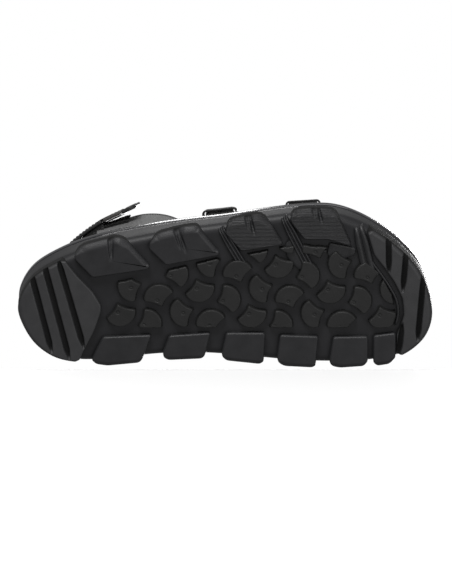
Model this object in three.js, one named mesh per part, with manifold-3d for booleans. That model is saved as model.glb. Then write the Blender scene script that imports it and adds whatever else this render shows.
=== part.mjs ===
// Sport sandal with a lugged rubber sole, two buckled straps and a hook-and-loop heel strap.
// Right foot. Millimetres, +Z up, sole on the ground at z = 0, toe towards -Y, medial side at +X.

import * as THREE from 'three';
import { mergeVertices } from 'three/addons/utils/BufferGeometryUtils.js';
import Module from 'manifold-3d';

const wasm = await Module();
wasm.setup();

// ---- driving dimensions ------------------------------------------------------------------------

const soleLength = 284.3; // heel to toe
const soleWidth = 109; // across the ball, wall to wall
const drawnLength = 284.3; // the pattern below is drawn for this length and width, and graded to the sole
const drawnWidth = 109;

const lugDepth = 4.5; // tread depth, ground to channel floor
const lugWrap = 13; // how far the side lugs climb the wall
const soleFloor = 4; // rubber under the cup
const wallThickness = 3.2; // cup wall at the rim
const rimToe = 29; // rim height over the ground at the ball
const rimHeel = 34; // rim height over the ground at the heel
const grooveWidth = 4;
const grooveDepth = 3.4;
const tilePitch = 20.1; // tread lattice
const tileTurn = 27.2; // degrees
const tileChannel = 5.5;

const bedDrop = 3; // footbed edge under the rim
const bedDish = 6; // footbed middle under its edge
const sheetThickness = 1.8; // footbed cover
const shankThickness = 1.6;
const shankLength = 96;
const shankWidth = 24;
const gap = 0.3; // between pieces that touch

const strapThickness = 2.2;
const liningThickness = 1.4;
const strapSink = 9; // how far the strap ends go down inside the cup wall
const toeHeight = 41; // inside height of the toe strap over the rim
const instepHeight = 55;
const strapTuck = 1.5; // straps further in from the wall than the quarters
const bedInset = wallThickness + strapThickness + liningThickness + strapTuck + 5 * gap; // footbed cover

const buckleWidth = 28.5;
const buckleLength = 19; // pin to front bar, outer
const buckleBar = 2.4; // bar diameter
const tailWidth = 20; // strap width through the buckle
const prongDiameter = 1.7;
const sleeveWall = 1.3;
const runningGap = 0.35; // pin to sleeve and pin to prong
const tailLength = 15; // strap end past the buckle pin

const heelBandHeight = 27;
const heelBandThickness = 2.4;
const heelPadThickness = 4;
const heelBandMiddle = 70; // height of the band's middle over the ground, at the back
const flapLength = 26;
const flapLift = -9; // degrees out from the band's own line
const flapGap = 0.9; // bare fold between the band and the flap
const flapTipLength = 11;
const pileThickness = 1.2; // hook and loop pads

// ---- materials -----------------------------------------------------------------------------------

const finish = (color, roughness, metalness = 0) =>
  new THREE.MeshStandardMaterial({ color, roughness, metalness });
const rubber = finish(0x2f3032, 0.75);
const foam = finish(0x26272a, 0.85);
const suede = finish(0x2e2c2a, 0.95);
const leather = finish(0x232324, 0.6);
const lining = finish(0x35363a, 0.9);
const nylon = finish(0x1c1c1e, 0.55);
const steel = finish(0x39393b, 0.4, 0.9);
const pile = finish(0x151516, 1);

// ---- geometry helpers ----------------------------------------------------------------------------

const rad = THREE.MathUtils.degToRad;
const smooth = THREE.MathUtils.smoothstep;
const mix = THREE.MathUtils.lerp;

function closedGeometry(points, faces) {
  const geometry = new THREE.BufferGeometry();
  const position = new Float32Array(points.flatMap((p) => [p.x, p.y, p.z]));
  geometry.setAttribute('position', new THREE.BufferAttribute(position, 3));
  let volume = 0;
  for (const [a, b, c] of faces) {
    volume += points[a].dot(new THREE.Vector3().crossVectors(points[b], points[c]));
  }
  geometry.setIndex((volume < 0 ? faces.map(([a, b, c]) => [a, c, b]) : faces).flat());
  return geometry;
}

// A closed solid through rings of points, each ring the same count, with its two ends fanned shut.
function loft(rings) {
  const count = rings[0].length;
  const points = rings.flat();
  const faces = [];
  for (let r = 0; r + 1 < rings.length; r++) {
    for (let i = 0; i < count; i++) {
      const a = r * count + i;
      const b = r * count + ((i + 1) % count);
      const [c, d] = [b + count, a + count];
      const across = points[a].distanceTo(points[c]) < points[b].distanceTo(points[d]);
      faces.push(...(across ? [[a, b, c], [a, c, d]] : [[a, b, d], [b, c, d]]));
    }
  }
  for (const [ring, turn] of [[0, 1], [rings.length - 1, 0]]) {
    const hub = points.length;
    const middle = rings[ring].reduce((sum, p) => sum.add(p), new THREE.Vector3());
    points.push(middle.divideScalar(count));
    for (let i = 0; i < count; i++) {
      const a = ring * count + i;
      const b = ring * count + ((i + 1) % count);
      faces.push(turn ? [hub, b, a] : [hub, a, b]);
    }
  }
  return closedGeometry(points, faces);
}

// A closed sheet between two offsets of a surface; at(u, v) gives a point and its outward normal.
function sheet(at, across, along, inner, outer) {
  const points = [];
  const faces = [];
  const width = across + 1;
  const layer = width * (along + 1);
  for (const offset of [inner, outer]) {
    for (let j = 0; j <= along; j++) {
      for (let i = 0; i <= across; i++) {
        const { point, normal } = at(i / across, j / along);
        points.push(point.clone().addScaledVector(normal, offset));
      }
    }
  }
  for (let j = 0; j < along; j++) {
    for (let i = 0; i < across; i++) {
      const a = j * width + i;
      faces.push([a, a + 1, a + width + 1], [a, a + width + 1, a + width]);
      const b = a + layer;
      faces.push([b, b + width + 1, b + 1], [b, b + width, b + width + 1]);
    }
  }
  const rim = [];
  for (let i = 0; i < across; i++) rim.push(i);
  for (let j = 0; j < along; j++) rim.push(j * width + across);
  for (let i = across; i > 0; i--) rim.push(along * width + i);
  for (let j = along; j > 0; j--) rim.push(j * width);
  rim.forEach((a, k) => {
    const b = rim[(k + 1) % rim.length];
    faces.push([a, a + layer, b + layer], [a, b + layer, b]);
  });
  return closedGeometry(points, faces);
}

function solid(geometry) {
  const bare = geometry.clone();
  bare.deleteAttribute('normal');
  bare.deleteAttribute('uv');
  const merged = mergeVertices(bare, 1e-4);
  return new wasm.Manifold(new wasm.Mesh({
    numProp: 3,
    vertProperties: new Float32Array(merged.attributes.position.array),
    triVerts: new Uint32Array(merged.index.array),
  }));
}

function fromSolid(manifold) {
  const mesh = manifold.getMesh();
  const geometry = new THREE.BufferGeometry();
  geometry.setAttribute('position', new THREE.BufferAttribute(mesh.vertProperties, mesh.numProp));
  geometry.setIndex(new THREE.BufferAttribute(mesh.triVerts, 1));
  return geometry;
}

// An upright prism over a plan outline of [x, y] pairs.
function prism(outline, bottom, top) {
  const shape = new THREE.Shape(outline.map(([x, y]) => new THREE.Vector2(x, y)));
  const geometry = new THREE.ExtrudeGeometry(shape, { depth: top - bottom, bevelEnabled: false });
  return geometry.translate(0, 0, bottom);
}

const sandal = new THREE.Group();

function add(name, geometry, material) {
  const mesh = new THREE.Mesh(geometry, material);
  mesh.name = name;
  sandal.add(mesh);
}

// ---- sole outline ----------------------------------------------------------------------------------

const grade = ([x, y]) => [x * soleWidth / drawnWidth, y * soleLength / drawnLength];

// Wall of the sole, drawn for the size above, from the back of the heel round by the medial side.
const drawnOutline = [
  [15, 142.1], [29, 137.6], [41, 129.5], [50, 116.5], [53.4, 99], [52, 74], [49, 44], [48.4, 18],
  [50, -8], [53, -38], [54.6, -68], [53.6, -98], [51, -115], [44.5, -128], [34, -137.8], [20, -142.1],
  [3, -139.6], [-12, -133.5], [-24.5, -123.5], [-38, -107.5], [-48.5, -89], [-53.3, -73], [-53.2, -52],
  [-50, -26], [-45.6, 0.8], [-41.4, 31], [-36, 60], [-29, 90], [-20.5, 112], [-8.5, 131], [4, 139.6],
];
const outlineCurve = new THREE.CatmullRomCurve3(
  drawnOutline.map(grade).map(([x, y]) => new THREE.Vector3(x, y, 0)), true, 'centripetal');
const outlineSteps = 64;
const outlineFine = outlineCurve.getPoints(300);

const rimHeight = (y) => mix(rimToe, rimHeel, smooth(y, -20, 80));

// The outline drawn in by an inset, with the height given by heightAt(y).
function ring(inset, heightAt, steps = outlineSteps) {
  const points = [];
  for (let i = 0; i < steps; i++) {
    const p = outlineCurve.getPoint(i / steps);
    const t = outlineCurve.getTangent(i / steps);
    const q = new THREE.Vector3(p.x + t.y * inset, p.y - t.x * inset, 0);
    q.z = heightAt(p.y);
    points.push(q);
  }
  return points;
}

// Where a closed plan line crosses a station y, on one side (+1 medial, -1 lateral).
function crossing(line, y, side) {
  let best = null;
  for (let i = 0; i + 1 < line.length; i++) {
    const [a, b] = [line[i], line[i + 1]];
    if ((a.y - y) * (b.y - y) > 0 || a.y === b.y) continue;
    const x = mix(a.x, b.x, (y - a.y) / (b.y - a.y));
    if (best === null || side * x > side * best) best = x;
  }
  return best;
}

// ---- outsole -----------------------------------------------------------------------------------------

const cupFloor = lugDepth + soleFloor;

// Side lugs as plan outlines, drawn for the size above, toe end last.
const lateralLugs = [
  [[-22, 103.3], [-26, 102.3], [-31, 97.8], [-35.5, 81.3], [-37.5, 74.8], [-34.6, 67], [-17, 51.3],
    [-14.5, 52.3], [-8.5, 90.8]],
  [[-29.5, 52.3], [-34, 51.3], [-39.5, 46.8], [-44.5, 28], [-45.6, 19], [-40.6, 15], [-27, 3.8],
    [-24.5, 4.3], [-17.5, 40.3]],
  [[-40.5, 0], [-46.5, -1.2], [-49.8, -4.2], [-52.6, -16], [-53.8, -24], [-48, -31], [-34, -39.5],
    [-32, -38.7], [-27.5, -11.2]],
  [[-49.5, -44], [-54.6, -45.7], [-57, -49.2], [-57.6, -61.2], [-57, -73.2], [-53.6, -77], [-33.5, -86],
    [-31, -85.7], [-34.5, -75.2], [-36, -69.2], [-36, -54.2]],
];
const medialLugs = [
  [[34.5, 83.9], [33, 50.4], [50.5, 56.9], [53.5, 58.9], [55.7, 80.9], [54.5, 88.9], [51, 92]],
  [[33.5, 38.4], [31.5, 9.9], [48, 13.9], [50.5, 15.9], [51.6, 38.9], [50, 41.9], [46, 43]],
  [[31.5, -0.7], [31.5, -27.7], [52.5, -26.5], [54.5, -24], [52, -1.2], [50, 1.2], [47, 2.5]],
  [[33, -37.7], [34, -64.2], [55.5, -62.2], [57, -60], [56, -41], [54, -37.2], [50, -35.6]],
  [[34.5, -74.2], [34, -98.2], [52, -98.2], [56, -95.5], [57.2, -79], [56, -73.5], [52, -71.5]],
  [[33, -108.2], [31, -117.2], [49.5, -117.2], [54, -113], [54.5, -108.2]],
];
// Fins between the lateral lugs: the two ends of each and its width.
const fins = [
  [[-45, 4], [-12.5, -14.7], 4.6],
  [[-53, -39], [-13.5, -58.7], 5],
  [[-49, -90], [-8, -99.5], 9],
];
const finTop = 12;
// Bumpers wrap the two ends of the sole; each is cut from the outline by its inner edge.
const heelBumperEdge = [
  [-60, 128], [-28.5, 115.4], [-20, 109.4], [-9, 100.9], [2, 90.9], [12, 85.2], [16, 85.2],
  [30, 89.9], [45, 97.4], [60, 104], [80, 160], [-80, 160],
];
const toeBumperEdge = [
  [-75, -92], [-54, -93.7], [-35, -99.2], [-25, -102.2], [-15.5, -109.2], [-5, -116.2], [7, -121.7],
  [19, -122.7], [26, -120.7], [33, -118.2], [60, -118.4], [80, -160], [-80, -160],
];
const bumperGrooves = [
  [[-14, 133.4], [46, 118.9]], [[-21.5, 124.7], [51, 106.9]], [[-22.5, 114.4], [43, 96.9]],
  [[-41.5, -111.7], [-11, -112.2]], [[-31, -124.2], [2, -121.7]], [[24, -121.7], [49, -119.2]],
  [[-13, -136.2], [37.5, -132.2]],
];
// Middle of the sole between the side lugs and the bumpers, where the lattice lies.
const fieldEdge = [
  [28.5, 84], [4, 83], [-5, 74], [-11, 48], [-14, 38], [-24, -1], [-24.5, -12], [-31, -42], [-32, -54],
  [-30, -74], [-26, -90], [-12, -106], [4, -115], [20, -118], [28.5, -115],
];
const tileMiddle = [8, 0]; // one tile's centre

// A bar between two plan points, with square ends.
function bar([from, to], width, bottom, top) {
  const [ax, ay] = grade(from);
  const [bx, by] = grade(to);
  const long = Math.hypot(bx - ax, by - ay);
  const [nx, ny] = [-(by - ay) / long * width / 2, (bx - ax) / long * width / 2];
  return prism([[ax + nx, ay + ny], [ax - nx, ay - ny], [bx - nx, by - ny], [bx + nx, by + ny]],
    bottom, top);
}

function treadLattice() {
  const field = solid(prism(fieldEdge.map(grade), 0, cupFloor - 1));
  const half = (tilePitch - tileChannel) / 2;
  const [cos, sin] = [Math.cos(rad(tileTurn)), Math.sin(rad(tileTurn))];
  const reach = Math.ceil(soleLength / tilePitch / 2);
  let tiles = null;
  for (let i = -reach; i <= reach; i++) {
    for (let j = -reach; j <= reach; j++) {
      const turned = (a, b) => [tileMiddle[0] + a * cos - b * sin, tileMiddle[1] + a * sin + b * cos];
      const [a, b] = [i * tilePitch, j * tilePitch];
      const corners = [
        [a - half, b - half], [a + half, b - half], [a + half, b + half], [a - half, b + half],
      ];
      const [x, y] = turned(a, b);
      if (Math.abs(x) > soleWidth / 2 || Math.abs(y) > soleLength / 2) continue;
      const tile = solid(prism(corners.map(([p, q]) => turned(p, q)), 0, lugDepth + 1));
      tiles = tiles ? tiles.add(tile) : tile;
    }
  }
  return tiles.intersect(field);
}

function outsole() {
  const flat = (z) => () => z;
  const shell = solid(loft([
    ring(2.2, flat(lugDepth)), ring(0.3, flat(lugDepth + 4)), ring(0, (y) => rimHeight(y) - 3),
    ring(0.8, rimHeight),
  ]));
  const cup = solid(loft([
    ring(wallThickness + 1.2, flat(cupFloor)), ring(wallThickness, flat(cupFloor + 6)),
    ring(wallThickness, flat(rimHeel + 10)),
  ]));
  const ends = solid(loft([ring(2.4, flat(0)), ring(0, flat(3)), ring(0, flat(lugDepth + 5))]));
  let body = shell;
  for (const edge of [heelBumperEdge, toeBumperEdge]) {
    body = body.add(ends.intersect(solid(prism(edge.map(grade), -1, lugDepth + 4))));
  }
  for (const lug of [...lateralLugs, ...medialLugs]) {
    body = body.add(solid(prism(lug.map(grade), 0, lugWrap)));
  }
  for (const [from, to, width] of fins) {
    body = body.add(solid(bar([from, to], width, 0.8, finTop)));
  }
  for (const groove of bumperGrooves) {
    body = body.subtract(solid(bar(groove, grooveWidth, -1, grooveDepth)));
  }
  return fromSolid(body.add(treadLattice()).subtract(cup));
}

// ---- foot form -----------------------------------------------------------------------------------------

const strapFoot = 2; // where the straps leave the cup, under its rim

// Half the inside width and the middle of the foot form at a station.
const formEdges = new Map();
function girth(y, tuck) {
  if (!formEdges.has(tuck)) {
    const side = wallThickness + 2 * gap + strapThickness + tuck;
    const edge = ring(side, (at) => at, 300);
    formEdges.set(tuck, [...edge, edge[0]]);
  }
  const edge = formEdges.get(tuck);
  const [left, right] = [crossing(edge, y, -1), crossing(edge, y, 1)];
  return { half: (right - left) / 2, middle: (right + left) / 2 };
}

function archPoint(y, angle, height, tuck) {
  const { half, middle } = girth(y, tuck);
  const base = rimHeight(y) - strapFoot;
  const on = THREE.MathUtils.clamp(angle, 0, Math.PI);
  const drop = (angle < 0 ? -angle : Math.max(0, angle - Math.PI)) * height;
  return new THREE.Vector3(middle - half * Math.cos(on), y, base + height * Math.sin(on) - drop);
}

// Point and outward normal of an arch over the foot. The angle runs from 0 at the lateral rim to pi at
// the medial rim; beyond either end it carries on straight down into the cup.
function arch(y, angle, height, tuck) {
  const point = archPoint(y, angle, height, tuck);
  const [along, round] = [6, 0.01];
  const ahead = archPoint(y + along, angle, height, tuck).sub(archPoint(y - along, angle, height, tuck));
  const up = archPoint(y, angle + round, height, tuck).sub(archPoint(y, angle - round, height, tuck));
  return { point, normal: new THREE.Vector3().crossVectors(up, ahead).normalize() };
}

// ---- buckled straps --------------------------------------------------------------------------------------

const sleeveRadius = buckleBar / 2 + runningGap + sleeveWall;
const pinLift = sleeveRadius; // pin axis over the tab's inner face
const frontReach = buckleLength - buckleBar; // pin to front bar, axis to axis
const barLift = strapThickness + 1.6 * gap + buckleBar / 2;
const humpFlat = sleeveRadius + 0.3; // half the stretch where the strap lies level over the pin
const humpRise = 10.5;
const keeperBack = 11; // keeper behind the pin
const keeperWidth = 5;
const keeperWall = 1.4;
const prongRing = 0.9; // wall of the prong's eye
const prongSlot = 1.9; // half width of the gap in the sleeve
const holeSpacing = 6.5;
const holeRadius = 1.5;

// The strap's inner face over the tab's inner face, at a distance before (+) or past (-) the pin.
function strapLift(distance) {
  const over = sleeveRadius * 2 + gap;
  const away = Math.abs(distance) - humpFlat;
  const rest = distance > 0 ? 0 : strapThickness + gap;
  return mix(over, rest, smooth(away, 0, humpRise));
}

function strapSet(name, spec) {
  const { station, height, tuck, pinAngle, footWidth, topWidth, strapMaterial } = spec;
  const sink = strapSink / height;
  const at = (y, angle) => arch(y, angle, height, tuck);
  const nearPin = at(station, pinAngle + 0.01).point.distanceTo(at(station, pinAngle - 0.01).point) / 0.02;
  const lengthToAngle = (length) => length / nearPin;
  const distanceAt = (angle) => (angle - pinAngle) * nearPin;

  // Lateral tab: wide at the sole, drawn in to the pin.
  const tabHalf = (angle) =>
    mix(tailWidth / 2, footWidth / 2, smooth(-distanceAt(angle), 3, keeperBack + 2));
  const tabEnd = pinAngle - lengthToAngle(0.6);
  const tabAt = (u, v) => {
    const angle = mix(-sink, tabEnd, v);
    return at(station + tabHalf(angle) * (2 * u - 1), angle);
  };

  // Long strap: from the medial cup over the foot, through the buckle to its free end.
  const tailEnd = pinAngle - lengthToAngle(tailLength);
  const strapHalf = (angle) => {
    const toTop = smooth(distanceAt(angle), frontReach + 3, frontReach + 24);
    const toFoot = smooth(angle, Math.PI * 0.6, Math.PI);
    return mix(mix(tailWidth / 2, topWidth / 2, toTop), footWidth / 2, toFoot);
  };
  const strapAngle = (v) => mix(tailEnd, Math.PI + sink, v);
  const strapAt = (u, v) => {
    const angle = strapAngle(v);
    const { point, normal } = at(station + strapHalf(angle) * (2 * u - 1), angle);
    return { point: point.addScaledVector(normal, strapLift(distanceAt(angle))), normal };
  };
  const strapLiningAt = (u, v) => {
    const angle = mix(pinAngle + lengthToAngle(frontReach), Math.PI + sink, v);
    return at(station + (strapHalf(angle) - 1) * (2 * u - 1), angle);
  };

  // Buckle frame of reference: X along the pin towards the toe side, Y from the pin to the front bar,
  // Z off the foot.
  const pinSeat = at(station, pinAngle);
  const pin = pinSeat.point.clone().addScaledVector(pinSeat.normal, pinLift);
  const barSeat = at(station, pinAngle + lengthToAngle(frontReach));
  const front = barSeat.point.clone().addScaledVector(barSeat.normal, barLift);
  const reach = front.distanceTo(pin);
  const ahead = front.clone().sub(pin).normalize();
  const beside = (step) => at(station + step, pinAngle + lengthToAngle(frontReach / 2)).point;
  const sideways = beside(-8).sub(beside(8));
  sideways.addScaledVector(ahead, -sideways.dot(ahead)).normalize();
  const off = new THREE.Vector3().crossVectors(sideways, ahead).normalize();
  const placing = new THREE.Matrix4().makeBasis(sideways, ahead, off).setPosition(pin);
  const place = (geometry) => geometry.applyMatrix4(placing);

  const rod = (length, radius, sides = 12) =>
    new THREE.CylinderGeometry(radius, radius, length, sides).rotateZ(Math.PI / 2);
  const box = (x, y, z, width, long, thick) =>
    new THREE.BoxGeometry(width, long, thick).translate(x, y, z);

  // Sleeve of the tab round the pin, open in the middle for the prong.
  const sleeve = solid(place(rod(tailWidth, sleeveRadius, 16)))
    .subtract(solid(place(rod(tailWidth + 4, buckleBar / 2 + runningGap, 16))))
    .subtract(solid(place(box(0, 0, 0, 2 * prongSlot, sleeveRadius * 2 + 1, sleeveRadius * 2 + 1))));
  const pinHole = solid(place(rod(tailWidth + 4, buckleBar / 2 + runningGap, 16)));
  const prongRoom = solid(place(box(0, 2, 0, 2 * prongSlot, 9, sleeveRadius * 2 + 1)));
  const tab = solid(sheet(tabAt, 4, 12, 0, strapThickness));
  add(`${name}_tab`, fromSolid(tab.add(sleeve).subtract(pinHole).subtract(prongRoom)), strapMaterial);
  add(`${name}_tab_lining`, sheet(
    (u, v) => {
      const angle = mix(-sink, pinAngle - lengthToAngle(1), v);
      return at(station + (tabHalf(angle) - 1) * (2 * u - 1), angle);
    }, 4, 8, -gap - liningThickness, -gap), lining);

  const railBar = buckleBar + 0.3;
  const rail = (side) =>
    box(side * (buckleWidth - railBar) / 2, reach / 2, 0, railBar, reach + railBar, railBar);
  const frame = solid(place(rail(1))).add(solid(place(rail(-1))))
    .add(solid(place(rod(buckleWidth - buckleBar, buckleBar / 2))))
    .add(solid(place(rod(buckleWidth - buckleBar, buckleBar / 2).translate(0, reach, 0))));
  add(`${name}_buckle_frame`, fromSolid(frame), steel);

  const eye = buckleBar / 2 + runningGap;
  const tipHeight = buckleBar / 2 + gap + prongDiameter / 2;
  const rootHeight = eye + prongRing - prongDiameter / 2;
  const tip = new THREE.Vector3(0, reach + buckleBar * 0.6, tipHeight);
  const root = new THREE.Vector3(0, 0, rootHeight);
  const shaft = new THREE.CylinderGeometry(
    prongDiameter / 2, prongDiameter / 2, tip.distanceTo(root), 8);
  const lean = Math.atan2(tip.z - root.z, tip.y - root.y);
  shaft.rotateX(lean).translate(0, (tip.y + root.y) / 2, (tip.z + root.z) / 2);
  const prongWidth = 2 * prongSlot - 4 * gap;
  const prong = solid(rod(prongWidth, eye + prongRing, 16)).add(solid(shaft))
    .subtract(solid(rod(prongWidth + 1, eye, 16)));
  add(`${name}_buckle_prong`, place(fromSolid(prong)), steel);

  // The long strap, with the prong's hole and the spare holes either side of it.
  let strap = solid(sheet(strapAt, 4, 40, 0, strapThickness));
  strap = strap.subtract(solid(place(box(0, 4.6, 5, 2 * prongSlot, 14, 14))));
  for (const hole of [-1.7, 3.4, 4.6]) {
    const angle = pinAngle + lengthToAngle(hole * holeSpacing);
    const { point, normal } = at(station, angle);
    const punch = new THREE.CylinderGeometry(holeRadius, holeRadius, 24, 8);
    punch.applyQuaternion(new THREE.Quaternion().setFromUnitVectors(new THREE.Vector3(0, 1, 0), normal));
    strap = strap.subtract(solid(punch.translate(point.x, point.y, point.z)));
  }
  add(`${name}_strap`, fromSolid(strap), strapMaterial);
  add(`${name}_strap_lining`, sheet(strapLiningAt, 4, 22, -gap - liningThickness, -gap), lining);

  // Keeper: a bridge over the strap's free end, its feet on the tab.
  const keeperSeat = at(station, pinAngle - lengthToAngle(keeperBack));
  const keeperInside = tailWidth / 2 + 0.8;
  const deck = 2 * (strapThickness + gap) + 1.4;
  const foot = strapThickness + 2 * gap;
  const bridge = new THREE.Shape([
    [-keeperInside - keeperWall, foot], [-keeperInside, foot], [-keeperInside, deck], [keeperInside, deck],
    [keeperInside, foot], [keeperInside + keeperWall, foot], [keeperInside + keeperWall, deck + keeperWall],
    [-keeperInside - keeperWall, deck + keeperWall],
  ].map(([x, z]) => new THREE.Vector2(x, z)));
  const keeper = new THREE.ExtrudeGeometry(bridge, { depth: keeperWidth, bevelEnabled: false });
  keeper.translate(0, 0, -keeperWidth / 2);
  const keeperAngle = pinAngle - lengthToAngle(keeperBack);
  const keeperSide = at(station - 8, keeperAngle).point.sub(at(station + 8, keeperAngle).point).normalize();
  const keeperWay = new THREE.Vector3().crossVectors(keeperSide, keeperSeat.normal);
  keeper.applyMatrix4(new THREE.Matrix4()
    .makeBasis(keeperSide, keeperSeat.normal, keeperWay)
    .setPosition(keeperSeat.point));
  add(`${name}_keeper`, keeper, nylon);

  // Room in the footbed for the ends of the tab, the strap and their linings.
  const slot = (from, to, half) => solid(sheet(
    (u, v) => at(station + (half + gap) * (2 * u - 1), mix(from, to, v)),
    6, 6, -3 * gap - liningThickness, strapThickness + gap));
  const deep = sink + gap / height;
  return [slot(-deep, 0.3, footWidth / 2), slot(Math.PI - 0.3, Math.PI + deep, footWidth / 2)];
}

const straps = {
  toe: {
    station: -54, height: toeHeight, tuck: strapTuck, pinAngle: rad(32), footWidth: 50, topWidth: 44,
    strapMaterial: suede,
  },
  instep: {
    station: 3, height: instepHeight, tuck: strapTuck, pinAngle: rad(33), footWidth: 47, topWidth: 40,
    strapMaterial: suede,
  },
};

// ---- quarters, heel band and flap ------------------------------------------------------------------------

const formWaist = 110; // height of the foot form behind the instep, where its sides stand up
const formHeel = 80; // and at the heel, where they lean in
const quarterFront = 29;
const quarterBack = 88;
const quarterTop = 78; // over the ground
const pileFrom = 66;
const pileTo = 84;
const pileLow = 58;
const pileHigh = 81;

const formHeight = (y) => mix(formWaist, formHeel, smooth(y, 55, 82));

// A point on the side of the foot form at a station and a height over the ground.
function quarterAt(side, y, z) {
  const height = formHeight(y);
  const over = (z - rimHeight(y) + strapFoot) / height;
  const angle = over > 0 ? Math.asin(over) : over;
  return arch(y, side < 0 ? angle : Math.PI - angle, height, 0);
}

// Top edge of a quarter: level at the back, falling to the rim at its front end.
function quarterEdge(y) {
  const share = (y - quarterFront) / (quarterBack - quarterFront);
  return mix(rimToe + 4, quarterTop, Math.sin(Math.min(1, share / 0.55) * Math.PI / 2) ** 0.8);
}

function quarter(name, side) {
  const at = (u, v) => {
    const y = mix(quarterFront, quarterBack, u);
    return quarterAt(side, y, mix(rimHeight(y) - strapFoot - strapSink, quarterEdge(y), v));
  };
  add(`${name}_quarter`, sheet(at, 12, 6, 0, strapThickness), leather);
  const slotAt = (u, v) => {
    const y = mix(quarterFront - gap, quarterBack + gap, u);
    const low = rimHeight(y) - strapFoot - strapSink - gap;
    return quarterAt(side, y, mix(low, rimHeight(y) + 4, v));
  };
  return solid(sheet(slotAt, 14, 4, -gap, strapThickness + gap));
}

function loopPile() {
  const at = (u, v) => quarterAt(-1, mix(pileFrom, pileTo, u), mix(pileLow, pileHigh, v));
  add('loop_pile', sheet(at, 6, 4, strapThickness + gap, strapThickness + gap + pileThickness), pile);
}

const bandSewn = [40, 58, 76, 88]; // stations along the medial quarter that the band is sewn to
// Inner face of the heel band in plan, at its middle height, from the medial quarter to the free flap.
const bandPlan = [
  [39.6, 101], [33.5, 109], [24.5, 114.8], [12.5, 117], [-0.5, 112], [-10.6, 103.4], [-19.9, 92.3],
  [-26.6, 82.8],
];
const bandLean = 0.17; // inward for each mm up, at the medial end
const bandEase = 1; // room between the band and the curved quarter under it
const bandLeanLateral = 0.28;

function bandCurve() {
  const sewn = bandSewn.map((y) => {
    const { point, normal } = quarterAt(1, y, heelBandMiddle);
    return [point.x + normal.x * (strapThickness + gap + bandEase), y];
  });
  const plan = [...sewn, ...bandPlan.map(grade)].map(([x, y]) => new THREE.Vector3(x, y, 0));
  return new THREE.CatmullRomCurve3(plan, false, 'centripetal');
}
const band = bandCurve();

function bandAt(share, height) {
  const point = band.getPoint(share);
  const way = band.getTangent(share);
  const normal = new THREE.Vector3(way.y, -way.x, 0).normalize();
  const lean = mix(bandLean, bandLeanLateral, smooth(share, 0.3, 0.9));
  return {
    point: new THREE.Vector3(
      point.x - normal.x * lean * height, point.y - normal.y * lean * height, heelBandMiddle + height),
    normal: new THREE.Vector3(normal.x, normal.y, lean).normalize(),
    way,
  };
}

function heelBand() {
  const half = heelBandHeight / 2;
  const bandSheet = sheet((u, v) => bandAt(v, mix(-half, half, u)), 3, 40, 0, heelBandThickness);
  add('heel_strap', bandSheet, leather);
  const padHalf = half - 1.5;
  const padFrom = 0.42;
  const padTo = 0.86;
  const padSheet = sheet((u, v) => bandAt(mix(padFrom, padTo, v), mix(-padHalf, padHalf, u)),
    3, 20, -gap - heelPadThickness, -gap);
  add('heel_pad', padSheet, lining);
}

// Flap, its grip and its hook pad, laid out flat along +X from the hinge and then turned to place.
function heelFlap() {
  const { point, normal, way } = bandAt(1, 0);
  const up = new THREE.Vector3().crossVectors(way, normal).normalize();
  const seat = new THREE.Matrix4().makeBasis(way, normal, up)
    .setPosition(point.addScaledVector(normal, heelBandThickness));
  const lift = new THREE.Matrix4().makeRotationZ(rad(flapLift));
  const place = (geometry) => {
    geometry.applyMatrix4(lift);
    return geometry.applyMatrix4(seat);
  };
  const half = heelBandHeight / 2;
  const body = flapLength - flapTipLength - flapGap;
  const flap = new THREE.BoxGeometry(body, heelBandThickness, heelBandHeight);
  add('heel_flap', place(flap.translate(flapGap + body / 2, -heelBandThickness / 2, 0)), leather);
  const tipShape = new THREE.Shape();
  const corner = 5;
  const low = flapGap + body + gap;
  const high = low + flapTipLength;
  tipShape.moveTo(low, -half);
  tipShape.lineTo(high - corner, -half);
  tipShape.absarc(high - corner, -half + corner, corner, -Math.PI / 2, 0);
  tipShape.lineTo(high, half - corner);
  tipShape.absarc(high - corner, half - corner, corner, 0, Math.PI / 2);
  tipShape.lineTo(low, half);
  const tip = new THREE.ExtrudeGeometry(tipShape,
    { depth: heelBandThickness + 0.6, bevelEnabled: false, curveSegments: 5 });
  tip.rotateX(-Math.PI / 2).translate(0, -0.3 - heelBandThickness, 0);
  add('flap_grip', place(tip), nylon);
  const pad = new THREE.BoxGeometry(body - 1, pileThickness, heelBandHeight - 5);
  pad.translate(flapGap + body / 2, -heelBandThickness - gap - pileThickness / 2, 0);
  add('hook_pile', place(pad), pile);
}

// ---- footbed, midsole and shank ---------------------------------------------------------------------------

// Rings of the footbed's upper face, drawn from its edge in towards the long middle line of the sole.
function bedRing(share, lower) {
  const endRoom = soleWidth * 0.36;
  const edge = ring(bedInset, (y) => y);
  return edge.map((p) => {
    const y = THREE.MathUtils.clamp(p.y, -soleLength / 2 + endRoom, soleLength / 2 - endRoom);
    const middle = (crossing(outlineFine, y, -1) + crossing(outlineFine, y, 1)) / 2;
    const top = rimHeight(p.y) - bedDrop - bedDish * (1 - (1 - share) ** 2);
    return new THREE.Vector3(mix(p.x, middle, share), mix(p.y, y, share), top - lower);
  });
}

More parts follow.
